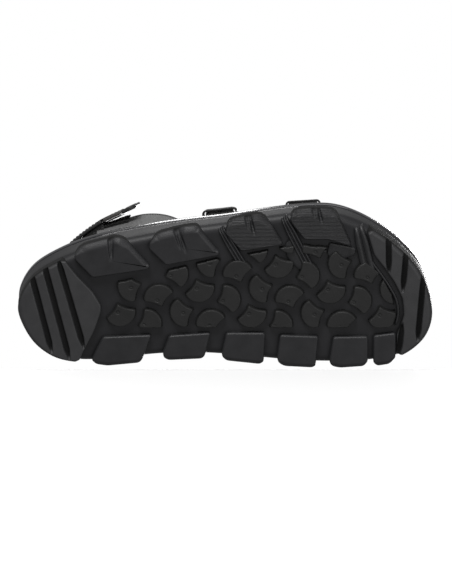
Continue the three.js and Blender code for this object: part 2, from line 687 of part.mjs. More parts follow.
function footbed(slots) {
  const steps = [0, 0.2, 0.4, 0.6];
  const cover = loft([
    ...steps.toReversed().map((share) => bedRing(share, sheetThickness)),
    ...steps.map((share) => bedRing(share, 0)),
  ]);
  add('footbed_cover', cover, suede);

  const flat = (z) => () => z;
  const inset = wallThickness + gap;
  const under = sheetThickness + gap;
  let core = solid(loft([
    ring(inset + 1.4, flat(cupFloor + gap)), ring(inset + 0.1, flat(cupFloor + 6)),
    ring(inset, (y) => rimHeight(y) - 1.5), ring(bedInset - 1, (y) => rimHeight(y) - bedDrop + 0.4),
    ring(bedInset - gap, (y) => rimHeight(y) - bedDrop - under),
    ...steps.slice(1).map((share) => bedRing(share, under)),
  ]));
  for (const slot of slots) core = core.subtract(slot);
  const shank = (grow, bottom, top) => {
    const [long, wide] = [shankLength / 2 + grow, shankWidth / 2 + grow];
    const middle = [1, 22];
    const outline = [];
    for (let i = 0; i < 20; i++) {
      const turn = 2 * Math.PI * i / 20;
      const [c, s] = [Math.cos(turn), Math.sin(turn)];
      outline.push([middle[0] + wide * Math.sign(c) * Math.abs(c) ** 0.6,
        middle[1] + long * Math.sign(s) * Math.abs(s) ** 0.6]);
    }
    return prism(outline, bottom, top);
  };
  const seat = cupFloor + gap;
  core = core.subtract(solid(shank(gap, seat - 1, seat + shankThickness + gap)));
  // The strap slots leave slivers beside the wall, which a mould would not fill.
  const [moulded] = core.decompose().sort((a, b) => b.volume() - a.volume());
  add('midsole', fromSolid(moulded), foam);
  add('shank', shank(0, seat, seat + shankThickness), nylon);
}

// ---- assembly -------------------------------------------------------------------------------------

add('outsole', outsole(), rubber);
const slots = Object.entries(straps).flatMap(([name, spec]) => strapSet(name, spec));
slots.push(quarter('lateral', -1), quarter('medial', 1));
loopPile();
heelBand();
heelFlap();
footbed(slots);

export default sandal;
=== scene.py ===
"""Looks of the sport sandal: rubber sole, moulded bed, buckled straps and a hook-and-loop heel strap.

Lengths in the functions are millimetres in the row frame (+Z up, sole on z = 0, toe towards -Y,
medial side at +X); new_piece turns them into metres.
"""

import math

import bpy
import numpy as np
from mathutils import Matrix, Vector


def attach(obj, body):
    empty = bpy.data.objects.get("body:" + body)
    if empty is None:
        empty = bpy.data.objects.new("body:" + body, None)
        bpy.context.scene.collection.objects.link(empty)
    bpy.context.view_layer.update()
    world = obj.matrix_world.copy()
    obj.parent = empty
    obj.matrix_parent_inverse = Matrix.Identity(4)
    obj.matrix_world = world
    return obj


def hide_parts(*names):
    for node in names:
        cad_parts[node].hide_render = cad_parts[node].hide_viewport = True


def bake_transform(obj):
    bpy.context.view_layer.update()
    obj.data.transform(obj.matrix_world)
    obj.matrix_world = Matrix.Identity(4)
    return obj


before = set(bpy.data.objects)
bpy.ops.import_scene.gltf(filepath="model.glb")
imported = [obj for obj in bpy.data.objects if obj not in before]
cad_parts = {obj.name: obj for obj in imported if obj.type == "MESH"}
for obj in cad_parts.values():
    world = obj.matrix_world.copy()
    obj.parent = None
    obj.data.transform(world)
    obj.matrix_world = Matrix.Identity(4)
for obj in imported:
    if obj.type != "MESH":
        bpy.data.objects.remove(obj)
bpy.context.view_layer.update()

MM = 0.001
rng = np.random.default_rng(7)

# ---- dimensions, most of them shared with the CAD model --------------------------------------------

# The cup, its tread and the bed in it.
LUG_DEPTH = 4.5
SOLE_FLOOR = 4
CUP_FLOOR = LUG_DEPTH + SOLE_FLOOR
FLOOR_BACK = LUG_DEPTH + SOLE_FLOOR / 2
WALL = 3.2
RIM_TOE = 29
RIM_HEEL = 34
GROOVE_DEPTH = 3.4
TILE_PITCH = 20.1
TILE_TURN = math.radians(27.2)
TILE_CHANNEL = 5.5
BED_DROP = 3
BED_DISH = 6
COVER = 1.8
GAP = 0.3
STRAP = 2.2
LINING = 1.4
STRAP_SINK = 9
STRAP_TUCK = 1.5
BED_INSET = WALL + STRAP + LINING + STRAP_TUCK + 5 * GAP
STRAP_FOOT = 2
SOLE_LENGTH = 284.3
SOLE_WIDTH = 109

# The buckles, the straps' tails through them, the keepers and the punched holes. A hole's place is counted
# in spacings from the pin.
BUCKLE_WIDTH = 28.5
BUCKLE_LENGTH = 19
BUCKLE_BAR = 2.4
TAIL_WIDTH = 20
PRONG = 1.7
SLEEVE_WALL = 1.3
RUNNING_GAP = 0.35
TAIL_LENGTH = 15
SLEEVE_RADIUS = BUCKLE_BAR / 2 + RUNNING_GAP + SLEEVE_WALL
FRONT_REACH = BUCKLE_LENGTH - BUCKLE_BAR
BAR_LIFT = STRAP + 1.6 * GAP + BUCKLE_BAR / 2
HUMP_FLAT = SLEEVE_RADIUS + 0.3
HUMP_RISE = 10.5
KEEPER_BACK = 11
KEEPER_WIDTH = 5
KEEPER_WALL = 1.4
KEEPER_TURN = 2.2
PRONG_RING = 0.9
PRONG_SLOT = 1.9
HOLE_SPACING = 6.5
HOLE_RADIUS = 1.5
HOLES = (-1.7, 3.4, 4.6)

# The heel band with its pad and flap, the quarters and the foot form that they lie on. The pad's seams are
# shares of the band's length.
BAND_HEIGHT = 27
BAND_THICKNESS = 2.4
PAD_THICKNESS = 4
BAND_MIDDLE = 70
FLAP_LENGTH = 26
FLAP_LIFT = math.radians(-9)
FLAP_GAP = 0.9
FLAP_TIP = 11
PILE = 1.2
FORM_WAIST = 110
FORM_HEEL = 80
QUARTER_FRONT = 29
QUARTER_BACK = 88
QUARTER_TOP = 78
LOOP_FIBRES = 2600
BAND_FIBRES = 1900
PAD_SEAMS = (0.53, 0.64, 0.75)

# The sole in plan: its outline from the heel round by the medial side, the lugs with the outer and inner end
# of each crease and groove, the fins with their widths, and the edges of the bumpers and of the tread.
OUTLINE = [
    (15, 142.1), (29, 137.6), (41, 129.5), (50, 116.5), (53.4, 99), (52, 74), (49, 44), (48.4, 18),
    (50, -8), (53, -38), (54.6, -68), (53.6, -98), (51, -115), (44.5, -128), (34, -137.8), (20, -142.1),
    (3, -139.6), (-12, -133.5), (-24.5, -123.5), (-38, -107.5), (-48.5, -89), (-53.3, -73), (-53.2, -52),
    (-50, -26), (-45.6, 0.8), (-41.4, 31), (-36, 60), (-29, 90), (-20.5, 112), (-8.5, 131), (4, 139.6),
]
LATERAL_LUGS = [
    [(-22, 103.3), (-26, 102.3), (-31, 97.8), (-35.5, 81.3), (-37.5, 74.8), (-34.6, 67), (-17, 51.3),
     (-14.5, 52.3), (-8.5, 90.8)],
    [(-29.5, 52.3), (-34, 51.3), (-39.5, 46.8), (-44.5, 28), (-45.6, 19), (-40.6, 15), (-27, 3.8),
     (-24.5, 4.3), (-17.5, 40.3)],
    [(-40.5, 0), (-46.5, -1.2), (-49.8, -4.2), (-52.6, -16), (-53.8, -24), (-48, -31), (-34, -39.5),
     (-32, -38.7), (-27.5, -11.2)],
    [(-49.5, -44), (-54.6, -45.7), (-57, -49.2), (-57.6, -61.2), (-57, -73.2), (-53.6, -77),
     (-33.5, -86), (-31, -85.7), (-34.5, -75.2), (-36, -69.2), (-36, -54.2)],
]
MEDIAL_LUGS = [
    [(34.5, 83.9), (33, 50.4), (50.5, 56.9), (53.5, 58.9), (55.7, 80.9), (54.5, 88.9), (51, 92)],
    [(33.5, 38.4), (31.5, 9.9), (48, 13.9), (50.5, 15.9), (51.6, 38.9), (50, 41.9), (46, 43)],
    [(31.5, -0.7), (31.5, -27.7), (52.5, -26.5), (54.5, -24), (52, -1.2), (50, 1.2), (47, 2.5)],
    [(33, -37.7), (34, -64.2), (55.5, -62.2), (57, -60), (56, -41), (54, -37.2), (50, -35.6)],
    [(34.5, -74.2), (34, -98.2), (52, -98.2), (56, -95.5), (57.2, -79), (56, -73.5), (52, -71.5)],
    [(33.5, -101.8), (31.5, -117.2), (49.5, -117.2), (54.4, -113), (55.8, -104.5), (53, -101.8)],
]
LUG_CREASES = [
    ((-38, 79.9), (-20, 78.3)), ((-44, 35.5), (-28.5, 30.0)), ((-54.5, -13.0), (-43.5, -16.0)),
    ((-60.5, -58.5), (-51.5, -61.5)),
]
LUG_GROOVES = [
    ((-34, 77.0), (-20.5, 78.0)), ((-45, 32.9), (-26, 26.3)), ((-55, -16.2), (-39, -20.2)),
    ((-60, -63.2), (-47, -66.2)),
]
FINS = [
    ((-43.6, 3.2), (-12.5, -14.7), 6.4),
    ((-51, -40), (-13.5, -58.7), 6.8),
    ((-45, -90.9), (-8, -99.5), 9.5),
]
HEEL_EDGE = [
    (-21.4, 110.4), (-9, 100.9), (2, 90.9), (12, 85.2), (16, 85.2), (30, 89.9), (45, 97.4), (53.2, 101),
]
TOE_EDGE = [
    (49.7, -118.3), (33, -118.2), (26, -120.7), (19, -122.7), (7, -121.7), (-5, -116.2),
    (-15.5, -109.2), (-25, -102.2), (-35, -99.2), (-44.6, -96.4),
]
HEEL_GROOVES = [
    ((-14, 133.4), (46, 118.9)), ((-21.5, 124.7), (51, 106.9)), ((-22.5, 114.4), (43, 96.9)),
]
TOE_GROOVES = [
    ((-41.5, -111.7), (-11, -112.2)), ((-31, -124.2), (2, -121.7)), ((24, -121.7), (49, -119.2)),
    ((-13, -136.2), (37.5, -132.2)),
]
FIELD_EDGE = [
    (28.5, 84), (4, 83), (-5, 74), (-11, 48), (-14, 38), (-24, -1), (-24.5, -12), (-31, -42), (-32, -54),
    (-30, -74), (-26, -90), (-12, -106), (4, -115), (20, -118), (28.5, -115),
]
TILE_MIDDLE = (8, 0)
GUSSET = [(-32, -41.2), (-23.5, -42.2), (-18.4, -45.6), (-14.4, -49.9), (-12.5, -55), (-38, -47)]
PATCH = [(-33, -71.5), (-25, -69.8), (-21.5, -73), (-20.8, -80), (-24, -88.5), (-29, -89.5), (-30.5, -84)]
STOP = [(-26.3, -59), (-28.2, -59), (-28.2, -69.3), (-26.3, -69.3)]
TOE_RIDGE = [
    (-25, -97.5), (-17.5, -101.8), (-9, -107.8), (-0.5, -113.2), (8, -117.4), (18, -118.8), (27, -116.8),
]


# ---- small maths -----------------------------------------------------------------------------------

def mix(a, b, share):
    """a at share 0 and b at share 1."""
    return a + (b - a) * share


def smooth(x, low, high):
    """0 below low, 1 above high, and 3t^2 - 2t^3 between."""
    t = np.clip((x - low) / (high - low), 0, 1)
    return t * t * (3 - 2 * t)


def unit(v):
    """Vectors along the last axis, made one long."""
    return v / np.maximum(np.linalg.norm(v, axis=-1, keepdims=True), 1e-12)


def vec(*parts):
    """Arrays broadcast together as the parts of vectors along a new last axis."""
    return np.stack(np.broadcast_arrays(*[np.asarray(p, float) for p in parts]), -1)


def spline(points, at, closed):
    """Centripetal Catmull-Rom curve through points: each span is the cubic whose end slopes come from the
    neighbouring points, spaced by the square roots of their distances. at runs from 0 to 1."""
    points = np.asarray(points, float)
    count = len(points)
    p = np.asarray(at, float) * (count if closed else count - 1)
    i = np.floor(p).astype(int)
    if closed:
        near = [points[(i + k) % count] for k in (-1, 0, 1, 2)]
    else:
        i = np.clip(i, 0, count - 2)
        ends = np.concatenate([[2 * points[0] - points[1]], points, [2 * points[-1] - points[-2]]])
        near = [ends[i + k] for k in (0, 1, 2, 3)]
    a, b, c, d = near
    w = (p - i)[..., None]
    ab = np.sqrt(np.linalg.norm(b - a, axis=-1, keepdims=True))
    bc = np.sqrt(np.linalg.norm(c - b, axis=-1, keepdims=True))
    cd = np.sqrt(np.linalg.norm(d - c, axis=-1, keepdims=True))
    t1 = ((b - a) / ab - (c - a) / (ab + bc) + (c - b) / bc) * bc
    t2 = ((c - b) / bc - (d - b) / (bc + cd) + (d - c) / cd) * bc
    return b + t1 * w + (3 * (c - b) - 2 * t1 - t2) * w**2 + (2 * (b - c) + t1 + t2) * w**3


def resample(line, count, closed=False):
    """A polyline's points again, count of them, evenly spaced along its length."""
    line = np.asarray(line, float)
    if closed:
        line = np.concatenate([line, line[:1]])
    length = np.concatenate([[0], np.cumsum(np.linalg.norm(np.diff(line, axis=0), axis=1))])
    at = np.linspace(0, length[-1], count + 1)[:-1] if closed else np.linspace(0, length[-1], count)
    return np.stack([np.interp(at, length, line[:, k]) for k in range(line.shape[1])], -1)


def rounded(corners, radius, count, steps=7):
    """A closed outline whose corners are quadratic Bezier arcs of about that radius, or of one each."""
    p = np.asarray(corners, float)
    radius = np.broadcast_to(radius, (len(p),))[:, None]
    back, ahead = np.roll(p, 1, axis=0) - p, np.roll(p, -1, axis=0) - p
    lengths = [np.linalg.norm(v, axis=1, keepdims=True) for v in (back, ahead)]
    a, b = [p + v / n * np.minimum(radius, 0.48 * n) for v, n in zip((back, ahead), lengths)]
    t = np.linspace(0, 1, steps)[None, :, None]
    arcs = (1 - t) ** 2 * a[:, None] + 2 * t * (1 - t) * p[:, None] + t**2 * b[:, None]
    return resample(arcs.reshape(-1, 2), count, closed=True)


def outward_normals(line):
    """Unit normals of a closed plan outline, pointing out of it."""
    way = unit(np.roll(line, -1, axis=0) - np.roll(line, 1, axis=0))
    x, y = line.T
    area = np.sum(x * np.roll(y, -1) - np.roll(x, -1) * y)
    return np.stack([way[:, 1], -way[:, 0]], -1) * np.sign(area)


def to_segment(x, y, ends):
    """Distance of plan points from a segment, and the share of its length they lie at."""
    a, b = np.asarray(ends[0], float), np.asarray(ends[1], float)
    way = b - a
    share = ((x - a[0]) * way[0] + (y - a[1]) * way[1]) / (way @ way)
    on = np.clip(share, 0, 1)
    return np.hypot(x - a[0] - on * way[0], y - a[1] - on * way[1]), share


def inside_by(x, y, polygon):
    """How far plan points lie inside a polygon; negative outside."""
    polygon = np.asarray(polygon, float)
    nearest = np.full(x.shape, 1e9)
    inside = np.zeros(x.shape, bool)
    for a, b in zip(polygon, np.roll(polygon, -1, axis=0)):
        nearest = np.minimum(nearest, to_segment(x, y, (a, b))[0])
        if a[1] != b[1]:
            crosses = (a[1] > y) != (b[1] > y)
            inside ^= crosses & (x < a[0] + (y - a[1]) * (b[0] - a[0]) / (b[1] - a[1]))
    return np.where(inside, nearest, -nearest)


# ---- meshes ----------------------------------------------------------------------------------------

def new_piece(name, points, faces, material, slot, body="sandal", replaces=()):
    """A smooth piece from points and from face arrays, each with its own number of corners. The faces are
    turned round if the volume that they enclose comes out negative."""
    points = np.asarray(points, float).reshape(-1, 3)
    volume = 0
    for f in faces:
        for k in range(1, f.shape[1] - 1):
            cross = np.cross(points[f[:, k]], points[f[:, k + 1]])
            volume += np.sum(points[f[:, 0]] * cross)
    if volume < 0:
        faces = [f[:, ::-1] for f in faces]
    mesh = bpy.data.meshes.new(name)
    mesh.vertices.add(len(points))
    mesh.vertices.foreach_set("co", (points * MM).astype(np.float32).ravel())
    corners = np.concatenate([f.ravel() for f in faces]).astype(np.int32)
    totals = np.concatenate([np.full(len(f), f.shape[1]) for f in faces])
    mesh.loops.add(len(corners))
    mesh.loops.foreach_set("vertex_index", corners)
    mesh.polygons.add(len(totals))
    mesh.polygons.foreach_set("loop_start", np.concatenate([[0], np.cumsum(totals)[:-1]]).astype(np.int32))
    mesh.update(calc_edges=True)
    mesh.validate()
    mesh.shade_smooth()
    mesh.materials.append(material)
    piece = bpy.data.objects.new(name, mesh)
    bpy.context.scene.collection.objects.link(piece)
    if body:
        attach(piece, body)
    if replaces:
        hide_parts(*replaces)
    return piece


def grid_faces(rows, columns, closed=False):
    """Quads between neighbouring points of a grid; closed joins each row's end to its start."""
    i = np.arange(rows - 1)[:, None] * columns
    j = np.arange(columns if closed else columns - 1)[None, :]
    k = (j + 1) % columns
    return np.stack([i + j, i + k, i + columns + k, i + columns + j], -1).reshape(-1, 4)


def looped_faces(rows, columns):
    """Quads of a grid of closed rows whose last row joins its first."""
    return grid_faces(rows + 1, columns, closed=True) % (rows * columns)


def tube(rings, flat_ends=False, bridged_ends=False):
    """Points and faces of a closed body through rings of points. Its two ends are fanned to their middles,
    or for flat ends each closed by one face, or for bridged ends by quads between each point k and the
    point as far back from the ring's start."""
    rows, columns = rings.shape[:2]
    if bridged_ends:
        k = np.arange(1, columns // 2 - 1)
        quads = np.stack([k, k + 1, columns - k - 1, columns - k], -1)
        half = columns // 2
        corners = np.array([[0, 1, columns - 1], [half - 1, half, half + 1]])
        last_row = (rows - 1) * columns
        walls = np.concatenate([grid_faces(rows, columns, closed=True), quads[:, ::-1], quads + last_row])
        return rings.reshape(-1, 3), [walls, np.concatenate([corners[:, ::-1], corners + last_row])]
    if flat_ends:
        j = np.arange(columns)
        ends = np.stack([j[::-1], (rows - 1) * columns + j])
        return rings.reshape(-1, 3), [grid_faces(rows, columns, closed=True), ends]
    points = np.concatenate([rings.reshape(-1, 3), rings[0].mean(0)[None], rings[-1].mean(0)[None]])
    j = np.arange(columns)
    k = (j + 1) % columns
    first = np.stack([np.full(columns, rows * columns), k, j], -1)
    last_row = (rows - 1) * columns
    last = np.stack([np.full(columns, rows * columns + 1), last_row + j, last_row + k], -1)
    return points, [grid_faces(rows, columns, closed=True), np.concatenate([first, last])]


def together(bodies):
    """Several (points, faces) bodies as one."""
    points, quads, triangles, start = [], [], [], 0
    for p, faces in bodies:
        points.append(p)
        for f in faces:
            (quads if f.shape[1] == 4 else triangles).append(f + start)
        start += len(p)
    return np.concatenate(points), [np.concatenate(f) for f in (quads, triangles) if f]


def section(low, high, corner, flats, turns=5):
    """A rounded rectangle's outline: each point's share of the flat half width, what it stands out beyond
    that, and its height."""
    a = np.linspace(0, np.pi / 2, turns + 1)
    a, b = a[1:], a[:-1]
    flat = np.linspace(-1, 1, flats)
    ones, none = np.ones(turns), np.zeros(flats)
    share = np.concatenate([flat, ones, ones, flat[::-1], -ones, -ones])
    out = corner * np.concatenate([none, np.sin(a), np.cos(b), none, -np.sin(a), -np.cos(b)])
    rise = corner * (1 - np.cos(a))
    fall = corner * (1 - np.sin(b))
    height = np.concatenate([none + low, low + rise, high - fall, none + high, high - rise, low + fall])
    return share, out, height


def strip(place, ends, rows, half, low, high, corner, flats=12):
    """A closed strap: rounded-rectangle sections from low to high over a surface. place(v, across, height)
    gives points, v runs between ends and half(v) is the half width. At both ends the section draws in as
    the sine of an angle while its station moves by 1 - cosine, which rounds the end."""
    share, out, height = section(low, high, corner, flats)
    middle = (low + high) / 2
    line = place(np.linspace(*ends, 40), 0, middle)
    reach = 0.5 * (high - low) / np.sum(np.linalg.norm(np.diff(line, axis=0), axis=1))
    turn = np.linspace(0.15, np.pi / 2, 5)
    near = reach * (1 - np.cos(turn))
    at = np.concatenate([near, np.linspace(reach, 1 - reach, rows)[1:-1], 1 - near[::-1]])
    squeeze = np.concatenate([np.sin(turn), np.ones(rows - 2), np.sin(turn[::-1])])[:, None]
    v = mix(ends[0], ends[1], at)[:, None]
    across = share * (half(v) - corner - 0.5 * (1 - squeeze)) + out * squeeze
    return tube(place(v, across, middle + (height - middle) * squeeze))


def stitches(place, line, height, pitch=3.2, radius=0.32):
    """Separate stitches along a line on a surface. line is (v, across) arrays; each stitch is a low arch,
    a closed capsule of six sides whose middle stands higher than its ends."""
    v, across = line
    path = place(v, across, height)
    up = unit(place(v, across, height + 1) - path)
    length = np.concatenate([[0], np.cumsum(np.linalg.norm(np.diff(path, axis=0), axis=1))])
    at = np.arange(pitch, length[-1] - pitch / 2, pitch)
    middle = np.stack([np.interp(at, length, path[:, k]) for k in range(3)], -1)
    ahead = np.stack([np.interp(at + 0.5, length, path[:, k]) for k in range(3)], -1)
    normal = unit(np.stack([np.interp(at, length, up[:, k]) for k in range(3)], -1))
    way = unit(ahead - middle)
    side = np.cross(way, normal)
    t = np.array([-1, -0.9, -0.5, 0, 0.5, 0.9, 1])
    wide = radius * np.array([0.05, 0.55, 0.95, 1, 0.95, 0.55, 0.05])
    turn = np.arange(6) * np.pi / 3
    along = (t * pitch * 0.4)[:, None] * np.ones(6)
    aside = wide[:, None] * np.cos(turn)
    rise = wide[:, None] * np.sin(turn) + (0.5 * radius * (1 - t**2))[:, None]
    rings = (middle[:, None, None] + along[None, ..., None] * way[:, None, None]
             + aside[None, ..., None] * side[:, None, None] + rise[None, ..., None] * normal[:, None, None])
    count = len(at)
    faces = grid_faces(7, 6, closed=True)
    start = np.arange(count)[:, None, None] * 42
    caps = np.stack([np.arange(6)[::-1], 36 + np.arange(6)])
    return rings.reshape(-1, 3), [(faces + start).reshape(-1, 4), (caps + start).reshape(-1, 6)]


def cut(piece, cutter):
    """The piece with the cutter's body taken out of it; the cutter goes."""
    modifier = piece.modifiers.new("cut", "BOOLEAN")
    modifier.object = cutter
    modifier.operation = "DIFFERENCE"
    modifier.solver = "EXACT"
    evaluated = piece.evaluated_get(bpy.context.evaluated_depsgraph_get())
    mesh = bpy.data.meshes.new_from_object(evaluated)
    piece.modifiers.clear()
    piece.data = mesh
    bpy.data.objects.remove(cutter)
    return piece


# ---- materials ---------------------------------------------------------------------------------------

def material(name, roughness, **sockets):
    """A Principled material whose constant values are set on its own sockets."""
    made = bpy.data.materials.new(name)
    made.use_nodes = True
    nodes = made.node_tree.nodes
    shader = nodes["Principled BSDF"]
    shader.inputs["Roughness"].default_value = roughness
    for key, value in sockets.items():
        shader.inputs[key.replace("_", " ").title().replace("Ior", "IOR")].default_value = value
    return made


def node(made, kind, inputs=(), **settings):
    """A new node with its properties set and its inputs linked or given values."""
    new = made.node_tree.nodes.new(kind)
    for key, value in settings.items():
        setattr(new, key, value)
    for key, value in inputs:
        if isinstance(value, bpy.types.NodeSocket):
            made.node_tree.links.new(value, new.inputs[key])
        else:
            new.inputs[key].default_value = value
    return new


def place_of(made, stretch=(1, 1, 1)):
    """Object coordinates in millimetres, stretched along the axes."""
    coordinates = node(made, "ShaderNodeTexCoord")
    mapping = node(made, "ShaderNodeMapping", [
        ("Vector", coordinates.outputs["Object"]),
        ("Scale", tuple(1000 * s for s in stretch)),
    ])
    return mapping.outputs["Vector"]


def noise(made, where, scale, detail=3, roughness=0.55):
    """Noise over a place, with scale in cycles per millimetre."""
    return node(made, "ShaderNodeTexNoise", [
        ("Vector", where), ("Scale", scale), ("Detail", detail), ("Roughness", roughness),
    ]).outputs["Fac"]


def ramp(made, value, stops):
    """A colour ramp through (position, grey or colour) stops."""
    new = node(made, "ShaderNodeValToRGB", [("Fac", value)])
    elements = new.color_ramp.elements
    while len(elements) < len(stops):
        elements.new(0.5)
    for element, (position, colour) in zip(elements, stops):
        element.position = position
        colour = (colour,) * 3 if isinstance(colour, (int, float)) else colour
        element.color = (*colour, 1)
    return new.outputs["Color"]


def paint(made, colour=None, roughness=None, height=None, depth=0.1, strength=1.0):
    """Links a colour, a roughness and a bump height, in millimetres deep, to the shader."""
    links = made.node_tree.links
    shader = made.node_tree.nodes["Principled BSDF"]
    if colour is not None:
        links.new(colour, shader.inputs["Base Color"])
    if roughness is not None:
        links.new(roughness, shader.inputs["Roughness"])
    if height is not None:
        bump = node(made, "ShaderNodeBump", [
            ("Height", height), ("Distance", depth * MM), ("Strength", strength)])
        links.new(bump.outputs["Normal"], shader.inputs["Normal"])
    return made


def blend_of(made, a, b, factor, kind="MIX"):
    """Two colours or heights mixed by a factor."""
    new = node(made, "ShaderNodeMix", data_type="RGBA", blend_type=kind)
    links = made.node_tree.links
    for key, value in (("Factor", factor), ("A", a), ("B", b)):
        kind_of = "VALUE" if key == "Factor" else "RGBA"
        socket = [s for s in new.inputs if s.name == key and s.type == kind_of][0]
        if isinstance(value, bpy.types.NodeSocket):
            links.new(value, socket)
        else:
            socket.default_value = value if key == "Factor" else (*value, 1)
    return [s for s in new.outputs if s.type == "RGBA"][0]


def rubber(name, dark, light, roughness, grain=0.13, ripple=0.0, painted_shade_heights=None):
    """Moulded rubber: fine grain, faint cloudy colour, and for some lugs ripples across the sole. On a
    tread piece, the last argument gives the heights between which the colour falls off to a painted shade
    on the walls and in the recesses above the tread face, standing in for the shade in the deep gaps
    between the lugs; the roughness rises there too."""
    made = material(name, roughness, specular_ior_level=0.3)
    where = place_of(made)
    clouds = noise(made, where, 0.09, 4)
    fine = noise(made, where, 1.4, 4, 0.75)
    colour = ramp(made, clouds, [(0.3, dark), (0.7, light)])
    rough = ramp(made, fine, [(0.25, roughness - 0.07), (0.75, roughness + 0.09)])
    # Painted shade: the colour darkens with the height over the tread face, so the lug walls and the recesses
    # between the lugs come out darker, standing in for the shade of the deep gaps.
    if painted_shade_heights:
        up = node(made, "ShaderNodeSeparateXYZ", [("Vector", where)]).outputs["Z"]
        side = node(made, "ShaderNodeMapRange", [
            ("Value", up), ("From Min", painted_shade_heights[0]), ("From Max", painted_shade_heights[1])]).outputs["Result"]
        colour = blend_of(made, colour, ramp(made, side, [(0, 1.0), (1, 0.06)]), 1.0, "MULTIPLY")
        rough = blend_of(made, rough, ramp(made, side, [(0, 0.0), (1, 0.4)]), 1.0, "ADD")
    height = fine
    if ripple:
        wavy = node(made, "ShaderNodeTexWave", [
            ("Vector", place_of(made, (1, 0.25, 0))), ("Scale", 0.32), ("Distortion", 2.6),
            ("Detail", 2.0), ("Detail Scale", 1.4),
        ], bands_direction="X")
        height = blend_of(made, fine, wavy.outputs["Fac"], ripple)
        grain = 0.28
    return paint(made, colour, rough, height, grain)


def napped(name, dark, light, roughness):
    """Suede: short nap in cloudy patches of two tones, with a soft sheen and a hairy bump."""
    made = material(name, roughness, sheen_weight=0.1, sheen_roughness=0.5, specular_ior_level=0.2)
    where = place_of(made)
    patches = noise(made, where, 0.12, 5, 0.62)
    nap = noise(made, place_of(made, (1, 0.45, 1)), 3.4, 3, 0.75)
    mottled = blend_of(made, patches, nap, 0.45)
    return paint(made, ramp(made, mottled, [(0.32, dark), (0.68, light)]), None, nap, 0.22)


def leather(name, dark, light, roughness):
    """Coated leather: small rounded cells with creases between them."""
    made = material(name, roughness, specular_ior_level=0.45)
    where = place_of(made)
    cells = node(made, "ShaderNodeTexVoronoi", [("Vector", where), ("Scale", 1.15), ("Randomness", 0.9)],
                 feature="SMOOTH_F1")
    clouds = noise(made, where, 0.15, 4)
    height = blend_of(made, cells.outputs["Distance"], noise(made, where, 4.0, 2), 0.3)
    rough = ramp(made, cells.outputs["Distance"], [(0.1, roughness - 0.08), (0.7, roughness + 0.1)])
    return paint(made, ramp(made, clouds, [(0.3, dark), (0.7, light)]), rough, height, 0.14)


def ribbed(name, dark, light, roughness, pitch, depth, sheen=0.15):
    """Woven or ribbed cloth: two crossed sets of fine waves, a pitch apart in millimetres."""
    made = material(name, roughness, sheen_weight=sheen, sheen_roughness=0.45, specular_ior_level=0.3)
    where = place_of(made)
    waves = [node(made, "ShaderNodeTexWave", [
        ("Vector", where), ("Scale", 0.314 / pitch), ("Distortion", 0.6), ("Detail", 1.0)],
        bands_direction=d).outputs["Fac"] for d in ("Y", "Z")]
    weave = blend_of(made, waves[0], waves[1], 0.5)
    grain = blend_of(made, weave, noise(made, where, 2.2, 3), 0.25)
    return paint(made, ramp(made, grain, [(0.25, dark), (0.7, light)]), None, grain, depth)


def brushed(name, colour, dark, roughness):
    """Dull plated metal, finely scratched, a little rubbed."""
    made = material(name, roughness, metallic=0.9)
    scratches = noise(made, place_of(made, (1, 0.08, 1)), 3.0, 4, 0.7)
    rubbed = noise(made, place_of(made), 0.5, 4)
    tone = ramp(made, blend_of(made, scratches, rubbed, 0.5), [(0.3, dark), (0.65, colour)])
    rough = ramp(made, scratches, [(0.3, roughness - 0.08), (0.7, roughness + 0.12)])
    return paint(made, tone, rough, scratches, 0.02)


# The last numbers given to the tread rubbers are the heights over which painted shade darkens their walls and
# recesses.
LUG_RUBBER = rubber("lug_rubber", (0.0085, 0.0085, 0.0095), (0.0135, 0.0135, 0.0148), 0.5, painted_shade_heights=(2.6, 4.2))
RIPPLED_RUBBER = rubber("rippled_lug_rubber", (0.0065, 0.0065, 0.0073), (0.0105, 0.0105, 0.0114), 0.5,
                        ripple=0.7, painted_shade_heights=(2.6, 4.2))
BUMPER_RUBBER = rubber("bumper_rubber", (0.019, 0.019, 0.020), (0.026, 0.026, 0.0272), 0.54,
                       painted_shade_heights=(0.8, 2.6))
FIN_RUBBER = rubber("fin_rubber", (0.007, 0.007, 0.0078), (0.011, 0.011, 0.012), 0.45)
FIELD_RUBBER = rubber("field_rubber", 0.006, 0.0095, 0.56, painted_shade_heights=(0.75, 2.2))
WALL_RUBBER = rubber("wall_rubber", (0.0058, 0.0058, 0.0068), (0.0088, 0.0088, 0.0101), 0.52, grain=0.02)
RIM_RUBBER = rubber("rim_rubber", (0.010, 0.010, 0.0115), (0.015, 0.015, 0.017), 0.12, grain=0.003)
FOAM = rubber("moulded_foam", 0.010, 0.016, 0.7, grain=0.1)
SUEDE = napped("black_suede", (0.006, 0.0055, 0.005), (0.018, 0.017, 0.016), 0.88)
BED_SUEDE = napped("bed_suede", (0.008, 0.0075, 0.007), (0.022, 0.020, 0.0185), 0.9)
LEATHER = leather("heel_leather", 0.007, 0.013, 0.48)
FLAP_LEATHER = leather("flap_leather", (0.018, 0.017, 0.016), (0.030, 0.028, 0.0265), 0.5)
CLOTH = ribbed("quarter_cloth", 0.044, 0.130, 0.7, pitch=0.9, depth=0.26)
FELT = ribbed("strap_lining", 0.009, 0.022, 0.88, pitch=0.7, depth=0.1, sheen=0.05)
NYLON = ribbed("keeper_nylon", 0.006, 0.014, 0.45, pitch=0.6, depth=0.06, sheen=0)
THREAD = ribbed("thread", 0.025, 0.055, 0.6, pitch=0.35, depth=0.05)
PILE_BASE = napped("pile_fibre", 0.005, 0.013, 0.8)
HOOK_NYLON = rubber("hook_nylon", 0.008, 0.016, 0.35, grain=0.01)
METAL = brushed("dark_metal", 0.10, 0.05, 0.34)
SHANK_NYLON = rubber("shank_nylon", 0.02, 0.03, 0.45)


# ---- camera ------------------------------------------------------------------------------------------

